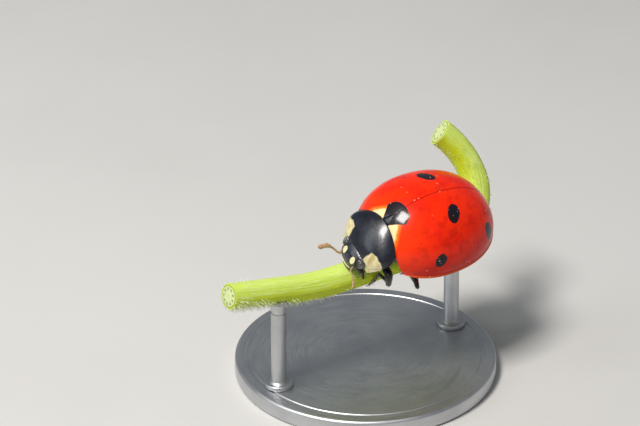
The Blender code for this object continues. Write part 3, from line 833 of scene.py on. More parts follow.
def hair_finish(name, first, second):
    """Hair and bristles, translucent, in two colours that run into each other."""
    made = Finish(name, SHARED, Roughness=0.45, Specular_IOR_Level=0.5, Transmission_Weight=0.15)
    clouds = mottle(made.place, 0.15, first, second, detail=2.0)
    made.feed("Base Color", clouds["Colour"])
    made.feed("Roughness", fade(clouds["Clouds"], 0, 1, low=0.4, high=0.55))
    return made.material


# Geometry trees: hair, eye facets and the tendril --------------------------------------------------------


def grown(name, mesh, tree, values):
    """What a geometry tree makes of a mesh, as a plain mesh. Inputs are set by their sockets' identifiers."""
    carrier = put_in_scene(name, mesh)
    modifier = carrier.modifiers.new(name, "NODES")
    modifier.node_group = tree
    for item in tree.interface.items_tree:
        if item.item_type == "SOCKET" and item.in_out == "INPUT" and item.name in values:
            modifier[item.identifier] = values[item.name]
    depsgraph = bpy.context.evaluated_depsgraph_get()
    result = bpy.data.meshes.new_from_object(carrier.evaluated_get(depsgraph), preserve_all_data_layers=True,
                                             depsgraph=depsgraph)
    bpy.data.objects.remove(carrier)
    result.name = name
    return result


def attribute(tree, name, data_type="FLOAT"):
    return Node(tree, "GeometryNodeInputNamedAttribute", {"Name": name}, data_type=data_type)[0]


def stored(shape, name, value, data_type, **settings):
    return Node(shape.tree, "GeometryNodeStoreNamedAttribute", {
        "Geometry": shape, "Name": name, "Value": value}, data_type=data_type, **settings)[0]


def altered(shape, kind, **inputs):
    return Node(shape.tree, "GeometryNode" + kind, {"Geometry": shape, **inputs})[0]


def bristle_tree():
    """Tapered, bent hairs on a skin, as thick as its growth says and leaning along its lie. Each one's OFBake
    map is a small patch at its root's place on the unwrapped skin."""
    tree, given, result = new_tree("bristles", "GeometryNodeTree", (
        ("Skin", "shape"), ("Hairs in a square millimetre", "number", 20.0), ("Seed", "whole", 1),
        ("Length", "number", 0.0002), ("Least length", "number", 0.6), ("Root radius", "number", 0.00001),
        ("Bend", "number", 0.3), ("Lean", "number", 0.5), ("Disorder", "number", 0.2),
        ("Patch", "number", 0.003), ("Finish", "finish")), (("Hairs", "shape"),))
    seed, length, root_radius = given["Seed"], given["Length"], given["Root radius"]
    density = given["Hairs in a square millimetre"] * (1 / (MM * MM)) * attribute(tree, "growth")
    scatter = Node(tree, "GeometryNodeDistributePointsOnFaces", {
        "Mesh": given["Skin"], "Density": density, "Seed": seed})
    lie = attribute(tree, "lie", "FLOAT_VECTOR")
    stray = Node(tree, "FunctionNodeRandomValue", {0: (-1, -1, -1), 1: (1, 1, 1), "Seed": seed},
                 data_type="FLOAT_VECTOR")[0]
    upright = Node(tree, "ShaderNodeMix", {0: given["Lean"], 4: scatter["Normal"], 5: lie},
                   data_type="VECTOR")[1]
    heading = vectors("ADD", upright, scaled(stray, given["Disorder"]))
    turn = Node(tree, "FunctionNodeAlignRotationToVector", {"Vector": heading}, axis="Z")[0]
    turn = Node(tree, "FunctionNodeAlignRotationToVector", {"Rotation": turn, "Vector": lie}, axis="X",
                pivot_axis="Z")[0]
    size = Node(tree, "FunctionNodeRandomValue", {2: given["Least length"], 3: 1.0, "Seed": seed},
                data_type="FLOAT")[1]
    cone = Node(tree, "GeometryNodeMeshCone", {
        "Vertices": 4, "Side Segments": 5, "Radius Top": root_radius * 0.12, "Radius Bottom": root_radius,
        "Depth": length})["Mesh"]
    _, y, z = parts_of(Node(tree, "GeometryNodeInputPosition")[0])
    along = z / length
    around = fade(y / root_radius, -1.0, 1.0)
    own = stored(cone, "own", vector_of(tree, along, around, 0.0), "FLOAT_VECTOR", domain="POINT")
    arc = along * along * (given["Bend"] * length)
    bent = altered(own, "SetPosition", Offset=vector_of(tree, arc, 0.0, 0.0))
    hairs = Node(tree, "GeometryNodeInstanceOnPoints", {
        "Points": scatter["Points"], "Instance": bent, "Rotation": turn,
        "Scale": vector_of(tree, size, size, size)})[0]
    real = altered(hairs, "RealizeInstances")
    inset = vectors("SUBTRACT", attribute(tree, "own", "FLOAT_VECTOR"), (0.5, 0.5, 0.0))
    patch = vectors("ADD", attribute(tree, "unwrap", "FLOAT_VECTOR"), scaled(inset, given["Patch"]))
    smooth = altered(stored(real, "OFBake", patch, "FLOAT2", domain="CORNER"), "SetShadeSmooth")
    result.feed(0, altered(smooth, "SetMaterial", Material=given["Finish"]))
    return tree


def facet_tree():
    """A compound eye: a ball whose every cell is a small raised lens."""
    tree, given, result = new_tree("compound_eye", "GeometryNodeTree", (
        ("Nothing", "shape"), ("Centre", "vector"), ("Radii", "vector", (1, 1, 1)), ("Fineness", "whole", 5),
        ("Lens height", "number", 0.03), ("Lens share", "number", 0.7), ("Finish", "finish")),
        (("Eye", "shape"),))
    ball = Node(tree, "GeometryNodeMeshIcoSphere", {"Radius": 1.0, "Subdivisions": given["Fineness"]})["Mesh"]
    raised = Node(tree, "GeometryNodeExtrudeMesh", {
        "Mesh": Node(tree, "GeometryNodeDualMesh", {0: ball})[0], "Offset Scale": given["Lens height"],
        "Individual": True})
    domed = altered(raised["Mesh"], "ScaleElements", Selection=raised["Top"], Scale=given["Lens share"])
    put = altered(domed, "Transform", Translation=given["Centre"], Scale=given["Radii"])
    smooth = altered(altered(put, "RealizeInstances"), "SetShadeSmooth")
    result.feed(0, altered(smooth, "SetMaterial", Material=given["Finish"]))
    return tree


def ridged_stem_tree():
    """A ridged, uneven stem along a path of edges, whose points carry its radius. Its attribute trace holds
    the cosine and sine of the turn round the stem, and the length along it in millimetres."""
    tree, given, result = new_tree("ridged_stem", "GeometryNodeTree", (
        ("Path", "shape"), ("Step", "number", 0.00003), ("Sides", "whole", 72), ("Ridges", "number", 7.0),
        ("Ridge depth", "number", 0.02), ("Fine ridges", "number", 31.0), ("Fine depth", "number", 0.006),
        ("Unevenness", "number", 0.00002), ("Finish", "finish")), (("Stem", "shape"),))
    line = Node(tree, "GeometryNodeMeshToCurve", {"Mesh": given["Path"]})[0]
    fine = Node(tree, "GeometryNodeResampleCurve", {"Curve": line, "Length": given["Step"]}, mode="LENGTH")[0]
    marked = stored(fine, "along", Node(tree, "GeometryNodeSplineParameter")["Length"] / MM, "FLOAT")
    circle = Node(tree, "GeometryNodeCurvePrimitiveCircle", {"Resolution": given["Sides"], "Radius": 1.0})[0]
    position = Node(tree, "GeometryNodeInputPosition")[0]
    x, y, _ = parts_of(position)
    turn = figure("ARCTAN2", y, x)
    coarse, slight = (figure("COSINE", turn * given[count]) * given[depth]
                      for count, depth in (("Ridges", "Ridge depth"), ("Fine ridges", "Fine depth")))
    profile = altered(stored(circle, "turned", position, "FLOAT_VECTOR"), "SetPosition",
                      Position=scaled(position, coarse + slight + 1.0))
    skin = Node(tree, "GeometryNodeCurveToMesh", {
        "Curve": marked, "Profile Curve": profile, "Fill Caps": True, "Scale": attribute(tree, "radius")})[0]
    lift = (grain(position, Scale=1600.0, Detail=3.0)["Fac"] - 0.5) * given["Unevenness"]
    normal = Node(tree, "GeometryNodeInputNormal")[0]
    uneven = altered(skin, "SetPosition", Offset=scaled(normal, lift))
    cos_turn, sin_turn, _ = parts_of(attribute(tree, "turned", "FLOAT_VECTOR"))
    trace = vector_of(tree, cos_turn, sin_turn, attribute(tree, "along"))
    real = altered(stored(uneven, "trace", trace, "FLOAT_VECTOR"), "RealizeInstances")
    result.feed(0, altered(real, "SetMaterial", Material=given["Finish"]))
    return tree


def joined(name, meshes):
    """One mesh out of several, which are used up."""
    tool = bmesh.new()
    for mesh in meshes:
        tool.from_mesh(mesh)
        bpy.data.meshes.remove(mesh)
    return used_up(tool, name)


# Wing cases and scutellum --------------------------------------------------------------------------------


def rim_angle(along):
    """The outline's angle, where along is 0 at the rear tip and 1 at the shoulder."""
    return 180 - along * (180 - SHOULDER_ANGLE)


def outline_point(angle_degrees, inset):
    """A point on the egg's outline, seen from above. 180 degrees is its rear tip."""
    angle = math.radians(angle_degrees)
    c, s = math.cos(angle), math.sin(angle)
    size = oval_reach(c, s, PLAN_POWER)
    reach = (CASE_FRONT if c > 0 else CASE_REAR) - inset
    return Vector((reach * c * size, (CASE_HALF_WIDTH - inset) * s * size, 0.0))


def outline_way_out(angle_degrees):
    """The direction straight out from the outline, seen from above."""
    step = outline_point(angle_degrees - 0.2, 0) - outline_point(angle_degrees + 0.2, 0)
    return Vector((-step.y, step.x, 0)).normalized()


def dome_height(x, y, inset):
    reach = (CASE_FRONT if x > 0 else CASE_REAR) - inset
    half_width = CASE_HALF_WIDTH - inset
    ratio = (abs(x / reach) ** PLAN_POWER + abs(y / half_width) ** PLAN_POWER) ** (1 / PLAN_POWER)
    return (CASE_HEIGHT - inset) * math.sqrt(max(0.0, 1 - min(ratio, 1.0) ** PROFILE_POWER))


def suture_offset(x):
    """How far the inner edge of a wing case lies from the middle line: it opens round the scutellum."""
    opening = max(0.0, x - (CASE_BASE_X - SCUTELLUM_LENGTH)) / SCUTELLUM_LENGTH
    return SUTURE_HALF_GAP + opening * (SCUTELLUM_HALF_WIDTH + BASE_GAP)


def front_edge(y, side):
    """The front edge, seen from above. It follows the pronotum, then curves into the outline."""
    shoulder = outline_point(SHOULDER_ANGLE, 0)
    base = CASE_BASE_X - BASE_GAP + BASE_SLANTS[side] * y
    first, last = SHOULDER_CORNER_Y - SHOULDER_START, shoulder.y - SHOULDER_CORNER_Y
    way = max(0.0, y - SHOULDER_START)
    turn = (first - math.sqrt(max(0.0, first * first - (first - last) * way))) / (first - last)
    return between(base, shoulder.x, min(turn, 1.0) ** 2)


# Rows run from the rear tip to the front edge, and columns from the suture out. Both crowd at the edges.
CASE_ROWS = [0] + spaced(0, 0.965, 100) + spaced(0.965, 1, 14)
CASE_COLUMNS = [0, 0.001, 0.002, 0.0035, 0.0055, 0.008] + spaced(0.008, 0.96, 60) + spaced(0.96, 1, 22)
CASE_INNER_STEPS = 20
CASE_ROLLED_EDGE = ((0.038, -0.014), (0.016, -0.028), (-0.03, -0.030), (-0.10, -0.012), (-0.20, 0.0),
                    (-0.32, 0.004), (-0.42, -0.002))  # out from the outline, and up


def rim_share(along):
    """How much of the rolled edge stands out: it runs out towards the shoulder."""
    return 1 - RIM_FADE * ease((along - RIM_FADE_START) / (1 - RIM_FADE_START))


def case_surface(along, out, inset, side):
    """A point of a wing case's outer or inner skin. Along is 0 at the rear tip and 1 at the front edge."""
    outer = outline_point(rim_angle(along), inset)
    shoulder_x = outline_point(SHOULDER_ANGLE, inset).x
    base_x = CASE_INNER_BASE_X if inset else CASE_BASE_X
    inner_x = outer.x * (base_x / shoulder_x if outer.x > 0 else 1.0)
    inner = Vector((inner_x, suture_offset(inner_x), 0.0))
    share = math.sin(math.pi / 2 * out)
    point = between(inner, outer, share)
    if inset == 0:
        shoulder_y = outline_point(SHOULDER_ANGLE, 0).y
        edge_x = front_edge(between(suture_offset(base_x), shoulder_y, share), side)
        point.x += (edge_x - between(base_x, shoulder_x, share)) * along ** 6
    point.z = 0.0 if out == 1 else dome_height(point.x, point.y, inset)
    return point


def case_outer_point(along, out, side):
    """The outer skin with its rolled edge, its groove, the shoulder bump and rounded edges."""
    point = case_surface(along, out, 0.0, side)
    height = point.z
    if height < MARGIN_TOP:
        roll = ridge(height, *MARGIN_BEAD) - ridge(height, *MARGIN_GROOVE)
        point += outline_way_out(rim_angle(along)) * roll * rim_share(along)
    x, y, radius, rise = CALLUS
    point.z += rise * bell(math.hypot(point.x - x, point.y - y), radius)
    from_suture = point.y - suture_offset(point.x)
    point.z -= SUTURE_ROUNDING * fallen(1 - from_suture / SUTURE_ROUNDING)
    point.z -= LIP_DROP * fallen((along - LIP_START) / (1 - LIP_START)) * ease(height / LIP_LOW)
    return point


def wing_case(side, finish):
    shape = Shape()
    rings = []
    for along in CASE_ROWS:
        edge = outline_point(rim_angle(along), 0)
        way = outline_way_out(rim_angle(along))
        share = rim_share(along)
        ring = [case_outer_point(along, out, side) for out in CASE_COLUMNS]
        ring += [edge + way * (out * share if out > 0 else out) + Vector((0, 0, up * share))
                 for out, up in CASE_ROLLED_EDGE]
        ring += [case_surface(along, out, CASE_WALL, side) for out in reversed(shares(CASE_INNER_STEPS))]
        for point in ring:
            point.y = max(point.y, SUTURE_HALF_GAP)
        rings.append(ring)
    outer = len(CASE_COLUMNS)
    side_tuck = outline_way_out(SHOULDER_ANGLE) * -SIDE_TUCK
    tucked = [point + between(side_tuck, TOP_TUCK, ease(point.z / TUCK_HEIGHT))
              for point in rings[-1][:outer]]
    loops = shape.loft(rings + [tucked + rings[-1][outer:]])
    for loop in (loops[0], loops[-1]):
        shape.tool.faces.new(loop[outer - 1:outer + len(CASE_ROLLED_EDGE) + 1])
    front = loops[-1]
    inner_of = [len(front) - 1 - round(CASE_INNER_STEPS * out) for out in CASE_COLUMNS]
    for k in range(outer - 1):
        corners = (front[k], front[k + 1], front[inner_of[k + 1]], front[inner_of[k]])
        shape.tool.faces.new(list(dict.fromkeys(corners)))
    place = BODY if side == "left" else BODY @ Matrix.Scale(-1, 4, (0, 1, 0))
    shape.piece("wing_case_shell_" + side, place, finish, "wing_case", "wing_case_" + side)


def scutellum(finish):
    """A small domed triangle between the wing cases' front corners."""
    front, length = CASE_BASE_X - 0.005, SCUTELLUM_LENGTH - 0.02
    tip_half, sunk, arch, front_dip, thickness = 0.012, 0.012, 0.035, 0.12, 0.35
    shape = Shape()
    rings = []
    for share in shares(16):
        x = front - share * length
        half = SCUTELLUM_HALF_WIDTH * (1 - share) + tip_half
        top = dome_height(x, 0, 0) - sunk
        dip = front_dip * (1 - share) ** 12
        ring = [Vector((x, -half * math.cos(t), top - arch * (1 - math.sin(t)) - dip))
                for t in [math.pi * across for across in shares(16)]]
        rings.append(ring + [Vector((x, half, top - thickness)), Vector((x, -half, top - thickness))])
    shape.loft(rings, (FLAT, FLAT))
    shape.piece("scutellum_plate", BODY, finish, "pronotum", "scutellum")


# Pronotum ------------------------------------------------------------------------------------------------

PRONOTUM_BEAD = (0.030, 0.0, 2.6)  # on its side edges: how far out, and its middle and width in degrees
PRONOTUM_GROOVE = (0.018, 8.0, 4.0)  # the groove beside it, in the same way
PRONOTUM_BEAD_RISE = (0.018, 1.0, 2.6)
PRONOTUM_FRONT_EDGE = (0.05, 0.035)  # how far the rounded edge drops, and its share of the length
PRONOTUM_REAR_EDGE = (0.06, 0.04)
PRONOTUM_WALL_BACK = 0.03  # how far behind the outer skin's front edge the inner one's lies


def pronotum_point(share, turn, wall):
    """A point of the pronotum. Turn runs from -90 degrees on the right margin to 90 on the left."""
    crown = bezier(PRONOTUM_MIDDLE, share)
    margin = bezier(PRONOTUM_MARGIN, share)
    power = between(*PRONOTUM_ARCH_POWER, share)
    rise = max(0.0, math.cos(turn))
    if wall:
        crown.z -= wall
        margin.y -= PRONOTUM_TURN_UNDER
        margin.x -= PRONOTUM_WALL_BACK * share
        crown.x -= PRONOTUM_WALL_BACK * share
    point = Vector((between(margin.x, crown.x, rise), margin.y * math.sin(turn),
                    between(margin.z, crown.z, rise ** power)))
    if not wall:
        edge = math.degrees(math.pi / 2 - abs(turn))
        out = ridge(edge, *PRONOTUM_BEAD) - ridge(edge, *PRONOTUM_GROOVE)
        point.y += math.copysign(out, point.y)
        point.z += ridge(edge, *PRONOTUM_BEAD_RISE)
    return point


def pronotum(finish):
    shape = Shape()
    arch = [math.pi * (share - 0.5) for share in shares(150)]
    (front_drop, front_share), (rear_drop, rear_share) = PRONOTUM_FRONT_EDGE, PRONOTUM_REAR_EDGE
    rings = []
    for share in shares(90):
        drop = front_drop * fallen((share - (1 - front_share)) / front_share)
        drop += rear_drop * fallen((rear_share - share) / rear_share)
        outer = [pronotum_point(share, turn, 0.0) - Vector((0, 0, drop * max(0.0, math.cos(turn)) ** 0.5))
                 for turn in arch]
        rings.append(outer + [pronotum_point(share, turn, PRONOTUM_WALL) for turn in reversed(arch)])
    loops = shape.loft(rings)
    count = len(arch)
    for loop in (loops[0], loops[-1]):
        for k in range(count - 1):
            shape.tool.faces.new((loop[k], loop[k + 1], loop[2 * count - 2 - k], loop[2 * count - 1 - k]))
    shape.piece("pronotum_shield", FRONT, finish, "pronotum", "pronotum")


# Head ----------------------------------------------------------------------------------------------------

JAW_PATH = ((3.74, 0.30, -0.74), (3.86, 0.23, -0.80), (3.91, 0.10, -0.83), (3.90, 0.02, -0.845))
LIP_PALP_PATH = ((3.70, 0.10, -0.87), (3.73, 0.17, -0.93), (3.72, 0.20, -0.99))
LIP_PALP_RADII = (0.030, 0.028, 0.026, 0.032, 0.034, 0.030, 0.026, 0.018)
PALP_JOINTS = ((0, 9, 0.085, 0.105), (8, 27, 0.095, 0.136), (27, 35, 0.085, 0.104))
PALP_BLADE = (36, 56, 0.085, 0.155)  # like the joints: its first and last points on the path, and its radii
EYE_FURROW = (0.030, 1.10, 0.10)  # round the eye: depth, and middle and width where the eye's edge is 1
EYE_RIM = (0.016, 1.36, 0.12)  # the raised rim round that: height, and middle and width in the same way
ANTENNA_PIT = Vector((3.87, 0.50, -0.45))
PIT_DEPTH, PIT_WIDTH = 0.035, 0.085
FACE_GROOVE_Z = -0.545
FACE_GROOVE_DEPTH, FACE_GROOVE_WIDTH, FACE_GROOVE_BOW = 0.022, 0.022, 0.10
BROW_DENT = (0.18, -0.05)  # y and z
DENT_DEPTH, DENT_WIDTH = 0.012, 0.12


def head_ring(place, sides=96):
    """A section of the head, with the rims round the eyes and the pits, groove and dents of the face."""
    x, middle, half_width, half_height = through(HEAD_SECTIONS, place)
    ring = []
    for turn in turns(sides):
        c, s = math.cos(turn), math.sin(turn)
        size = oval_reach(c, s, HEAD_SQUARENESS)
        out = Vector((0, half_width * c * size, half_height * s * size))
        point = Vector((x, 0, middle)) + out
        mirror = Vector((point.x, abs(point.y), point.z))
        eye = mirror - Vector(EYE_CENTRE)
        from_eye = math.sqrt(sum((eye[n] / EYE_RADII[n]) ** 2 for n in range(3)))
        round_eye = ridge(from_eye, *EYE_FURROW) - ridge(from_eye, *EYE_RIM)
        pit = PIT_DEPTH * bell((mirror - ANTENNA_PIT).length, PIT_WIDTH)
        above_groove = point.z - FACE_GROOVE_Z - FACE_GROOVE_BOW * (abs(point.y) / 0.5) ** 2
        groove = FACE_GROOVE_DEPTH * bell(above_groove, FACE_GROOVE_WIDTH) * ease((x - 3.74) / 0.08)
        from_dent = math.hypot(mirror.y - BROW_DENT[0], point.z - BROW_DENT[1])
        dent = DENT_DEPTH * bell(from_dent, DENT_WIDTH)
        ring.append(point - out.normalized() * (pit + round_eye + groove + dent))
    return ring


def head(finish):
    shape = Shape()
    rings = [head_ring((len(HEAD_SECTIONS) - 1) * share ** 0.8) for share in shares(110)]
    (neck_x, neck_z, *_), (face_x, face_z, *_) = HEAD_SECTIONS[0], HEAD_SECTIONS[-1]
    shape.loft(rings, (Vector((neck_x - 0.06, 0, neck_z)), Vector((face_x + 0.02, 0, face_z))),
               growth=lambda point: ease((point.x - 3.45) / 0.3))
    shape.piece("head_shell", FRONT, finish, "head", "head", hairy=True)


def lip_rod(shape, steps, half_width, ends, ahead, down, radius, least, power, **rod):
    """A rod across the face, bowed ahead and down. Ends gives the x and z of its thin ends."""
    across = [k / steps - 1 for k in range(2 * steps + 1)]
    path = [Vector((ends[0] + ahead * (1 - s * s), half_width * s, ends[1] - down * (1 - s * s)))
            for s in across]
    shape.rod(path, [radius * math.sqrt(max(least, 1 - abs(s) ** power)) for s in across], **rod)


def mouthparts(finish, pale, brown):
    """The clypeus' pale front edge, the labrum, the jaws and the lower lip."""
    edge = Shape()
    lip_rod(edge, 16, half_width=0.41, ends=(3.875, -0.645), ahead=0.045, down=0.105, radius=0.032,
            least=0.05, power=3, sides=14, wide=(0, 0, 1), flatness=0.7)
    edge.piece("clypeus_edge", FRONT, pale, "head")

    lips = Shape()
    lip_rod(lips, 12, half_width=0.30, ends=(3.855, -0.765), ahead=0.050, down=0.055, radius=0.072,
            least=0.08, power=4, sides=16, wide=(0.35, 0, 1), flatness=0.55)
    lips.ball((3.70, 0.0, -0.73), (0.20, 0.34, 0.12), rows=24, sides=40)
    lips.ball((3.66, 0.0, -0.83), (0.15, 0.17, 0.07), rows=16, sides=28)
    lips.piece("labrum_and_lower_lip", FRONT, finish, "head", "mouth")

    jaws = Shape()
    for side in ("left", "right"):
        radii = [between(0.065, 0.018, share ** 1.4) for share in shares(13)]
        jaws.rod(sided_path(JAW_PATH, side, 14), radii, sides=12, wide=(0, 0, 1), flatness=0.7)
        jaws.rod(sided_path(LIP_PALP_PATH, side, 8), LIP_PALP_RADII, sides=10)
    jaws.piece("jaws_and_lip_palps", FRONT, brown, "head")


def palp(side, finish):
    """A jaw palp: a short root, a long joint, a small one and a flat axe-shaped tip."""
    path = sided_path(PALP_PATH, side, 60)
    shape = Shape()
    for joint in PALP_JOINTS:
        shape.joint(path, *joint, sides=16)
    shape.joint(path, *PALP_BLADE, sides=24, wide=(0.46, 0.51, 0.72), flatness=0.42)
    shape.piece("jaw_palp_" + side, FRONT, finish, "head", "palp_" + side)


ANTENNA_JOINTS = (  # start and end as shares of its length, radius at the start, the middle and the end
    (0.00, 0.13, 0.056, 0.084, 0.070), (0.125, 0.20, 0.054, 0.072, 0.058), (0.195, 0.28, 0.042, 0.054, 0.058),
    (0.275, 0.34, 0.042, 0.052, 0.057), (0.335, 0.40, 0.042, 0.052, 0.058),
    (0.395, 0.455, 0.042, 0.053, 0.059), (0.45, 0.51, 0.043, 0.054, 0.061),
    (0.505, 0.565, 0.044, 0.057, 0.066), (0.56, 0.70, 0.052, 0.100, 0.114),
    (0.70, 0.84, 0.070, 0.126, 0.126), (0.84, 1.00, 0.078, 0.128, 0.088),
)
ANTENNA_FLAT = {"left": (0.46, 0.51, 0.72), "right": (0.2, 0.3, -0.9)}  # the way that the joints are wide


def antenna(side, finish):
    """Eleven joints: a stout root, a knob, thin joints, and a club of three."""
    path = sided_path(ANTENNA_PATHS[side], side, 101)
    shape = Shape()
    for start, end, first, middle, final in ANTENNA_JOINTS:
        stretch = path[round(start * 100):round(end * 100) + 1]
        drawn = 2 * middle - (first + final) / 2
        radii = [((1 - t) ** 2 * first + 2 * (1 - t) * t * drawn + t ** 2 * final) * FEELER_STOUTNESS[side]
                 for t in shares(len(stretch) - 1)]
        shape.rod(stretch, radii, sides=18, cap_rings=3, growth=1.0, wide=ANTENNA_FLAT[side], flatness=0.55)
    shape.piece("antenna_joints_" + side, FRONT, finish, "antenna", "antenna_" + side, hairy=True)


# Legs ----------------------------------------------------------------------------------------------------

ANKLE_ROOM, INSTEP_ROOM, FOOT_ROOM = 0.20, 0.10, 0.075  # how far off the tendril's skin their middles stay
HIP_RADII = (0.23, 0.36, 0.21)
HIP_INWARD, HIP_UP = 0.14, 0.12
FEMUR_THIN, FEMUR_SWELL = 0.105, 0.062
TIBIA_THIN, TIBIA_WIDENING = 0.066, 0.034
TIBIA_KNEE = (0.022, 0.02, 0.12)  # the swelling at its start: height, and middle and width as shares
SPUR_RADII = (0.020, 0.018, 0.015, 0.011, 0.007, 0.003)
CLAW_HOOK = ((0, 0.3, 0), (0.07, 0.9, 0), (0.13, 1, 0.015), (0.15, 1, 0.055))  # ahead, share of spread, in
CLAW_TOOTH = ((0, 0), (0.02, 0.015), (0.045, 0.02))  # in and ahead
CLAW_SPREAD = 0.075
TARSUS_JOINTS = (  # first and last points on its path, radius at the start and the end, and flatness
    (0, 20, 0.052, 0.098, 0.62), (19, 36, 0.048, 0.092, 0.55), (33, 40, 0.036, 0.042, 0.9),
    (38, 60, 0.032, 0.050, 0.9),
)


def off_the_perch(point, room):
    """The point, moved straight out from the tendril's middle until it has this much room to it."""
    spoke = Vector((0.0, point.y, point.z + RIDE_HEIGHT))
    if spoke.length >= room:
        return point
    return Vector((point.x, 0.0, -RIDE_HEIGHT)) + spoke.normalized() * room


def leg(pair, side, black, brown, number):
    """Hip, femur, tibia with its spurs, a foot of four joints, of which the third is tiny, and two claws."""
    points = [mirrored(point, side) for point in LEG_JOINTS[pair]]
    if side == "right":
        points = [point + Vector((STRIDE[pair] * share, 0, 0)) for point, share in zip(points, STRIDE_SHARES)]
    root, knee, ankle, foot = points
    ankle = off_the_perch(ankle, PERCH_RADIUS + ANKLE_ROOM)
    foot = off_the_perch(foot, PERCH_RADIUS + FOOT_ROOM)
    instep = off_the_perch(between(ankle, foot, 0.5), PERCH_RADIUS + INSTEP_ROOM)

    def patch(part):
        return (number / 6 + 0.01, part / 3 + 0.01, 0.14, 0.31)

    def finished(shape, part, kind):
        node = f"{pair}_{part}_{side}"
        shape.piece(f"{node}_{kind}", BODY, black, "leg", node, hairy=True)

    femur = Shape()
    out = (knee - root).normalized()
    inward = mirrored((0, -HIP_INWARD, HIP_UP), side)
    femur.ball(root + inward, HIP_RADII, rows=24, sides=32, patch=patch(0), growth=0.5)
    femur.rod([root, root + out * 0.16], [0.12, 0.13], sides=20)
    belly = root - out * 0.02
    path = smooth_path([belly, between(root, knee, 0.55) + Vector(FEMUR_BOWS[pair]), knee], 26)
    radii = [FEMUR_STOUTNESS[pair] * (FEMUR_THIN + FEMUR_SWELL * math.sin(math.pi * share ** 0.8) ** 1.2)
             for share in shares(25)]
    femur.rod(path, radii, sides=26, wide=(1, 0, 0.2), flatness=0.74, patch=patch(0), growth=0.6)
    finished(femur, "femur", "shell")

    tibia = Shape()
    along = (ankle - knee).normalized()
    bow = along.cross(Vector((1, 0, 0))).normalized() * 0.05
    path = smooth_path([knee + along * 0.06, between(knee, ankle, 0.5) + bow, ankle - along * 0.02], 26)
    radii = [TIBIA_THIN + TIBIA_WIDENING * ease(share) + ridge(share, *TIBIA_KNEE) for share in shares(25)]
    tibia.rod(path, radii, sides=20, flatness=0.85, patch=patch(1), growth=1.0)
    for turn in (-1, 1):
        spur = along * 0.16 + Vector((0.05 * turn, 0, 0)) + Vector((0, 0, -0.04))
        start = ankle - along * 0.05 + Vector((0.06 * turn, 0, 0))
        path = smooth_path([start, start + spur * 0.5, start + spur], len(SPUR_RADII))
        tibia.rod(path, SPUR_RADII, sides=8, cap_rings=1)
    finished(tibia, "tibia", "shell")

    tarsus = Shape()
    path = smooth_path([ankle + along * 0.03, instep, foot], 61)
    for *joint, flatness in TARSUS_JOINTS:
        tarsus.joint(path, *joint, growing=1.15, sides=18, wide=(1, 0.1, 0), flatness=flatness,
                     patch=patch(2), growth=1.6)
    finished(tarsus, "tarsus", "joints")

    claws = Shape()
    tip = path[-1]
    forward = (path[-1] - path[-6]).normalized()
    inward = Vector((0, -tip.y, -(tip.z + RIDE_HEIGHT))).normalized()
    for turn in (-1, 1):
        spread = Vector((CLAW_SPREAD * turn, 0, 0))
        hook = [tip + forward * ahead + spread * apart + inward * down for ahead, apart, down in CLAW_HOOK]
        radii = [between(0.024, 0.004, share ** 1.3) for share in shares(11)]
        claws.rod(smooth_path(hook, 12), radii, sides=10, cap_rings=2)
        root_of_tooth = tip + forward * 0.045 + spread * 0.7
        tooth = [root_of_tooth + inward * down + forward * ahead for down, ahead in CLAW_TOOTH]
        claws.rod(tooth, [0.018, 0.012, 0.004], sides=8, cap_rings=1)
    claws.piece(f"{pair}_claws_{side}", BODY, brown, "leg")


# Underside -----------------------------------------------------------------------------------------------

PLATE_EDGES = (0.275, -0.42, -0.95, -1.42, -1.84, -2.20, -2.52)  # where each belly plate ends, front to rear
CHEST_RISE, CHEST_RISE_START, CHEST_RISE_LENGTH = 0.45, 1.3, 0.9  # how its depth lessens towards the front
PLATE_SUNK, PLATE_RISE, PLATE_BULGE = 0.045, 0.042, 0.010
PLATE_STEP = 0.06  # the share of its length in which a plate drops to the next one
CHEST_SUNK = 0.006
CHEST_MIDDLE_GROOVE = (0.03, 0.0, 0.03)  # each groove's depth, place and width
CHEST_REAR_GROOVE = (0.035, 1.30, 0.035)
CHEST_FRONT_GROOVE = (0.03, 1.98, 0.03)
CHEST_FLANK_GROOVE = (0.03, 1.28, 0.03)
COLLAR_BELLY = (-0.50, -0.36)  # how low it reaches at the rear and the front
COLLAR_FOLD = (0.05, 0.72, 0.05)  # the fold along its flanks, at this share of its half width
COLLAR_SPREAD = 1.25
COLLAR_INSET = PRONOTUM_WALL - 0.02  # its arch is the pronotum's, this far in
COLLAR_DROP = 0.03  # and this much lower


def trunk_ring(x, lift, sides=112):
    """A section of the trunk. Lift gives how far a point of the belly stands out, from its x and y."""
    reach = (CASE_FRONT if x > 0 else CASE_REAR) - TRUNK_INSET
    narrowing = max(0.0, 1 - abs(x / reach) ** PLAN_POWER) ** (1 / PLAN_POWER)
    half_width = (CASE_HALF_WIDTH - TRUNK_INSET) * narrowing
    top = dome_height(x, 0, TRUNK_INSET)
    rise = CHEST_RISE * ease((x - CHEST_RISE_START) / CHEST_RISE_LENGTH)
    low = TRUNK_DEPTH * math.sqrt(narrowing) * (1 - rise)
    ring = []
    for turn in turns(sides):
        c, s = math.cos(turn), math.sin(turn)
        point = Vector((x, half_width * c, s * (top if s > 0 else low)))
        if s < 0:
            way_out = Vector((0, half_width * c, low * s)).normalized()
            point += way_out * lift(x, point.y) * min(1.0, -s * 3)
        ring.append(point)
    return ring


def belly_lift(x, _y):
    """Each plate rises towards its rear edge, and then drops to the next one."""
    for start, end in zip((0.3,) + PLATE_EDGES, PLATE_EDGES + (-2.95,)):
        if end <= x <= start:
            share = (start - x) / (start - end)
            drop = ease((1 - share) / PLATE_STEP)
            return -PLATE_SUNK + PLATE_RISE * share ** 0.8 * drop + PLATE_BULGE * math.sin(math.pi * share)
    return -0.03


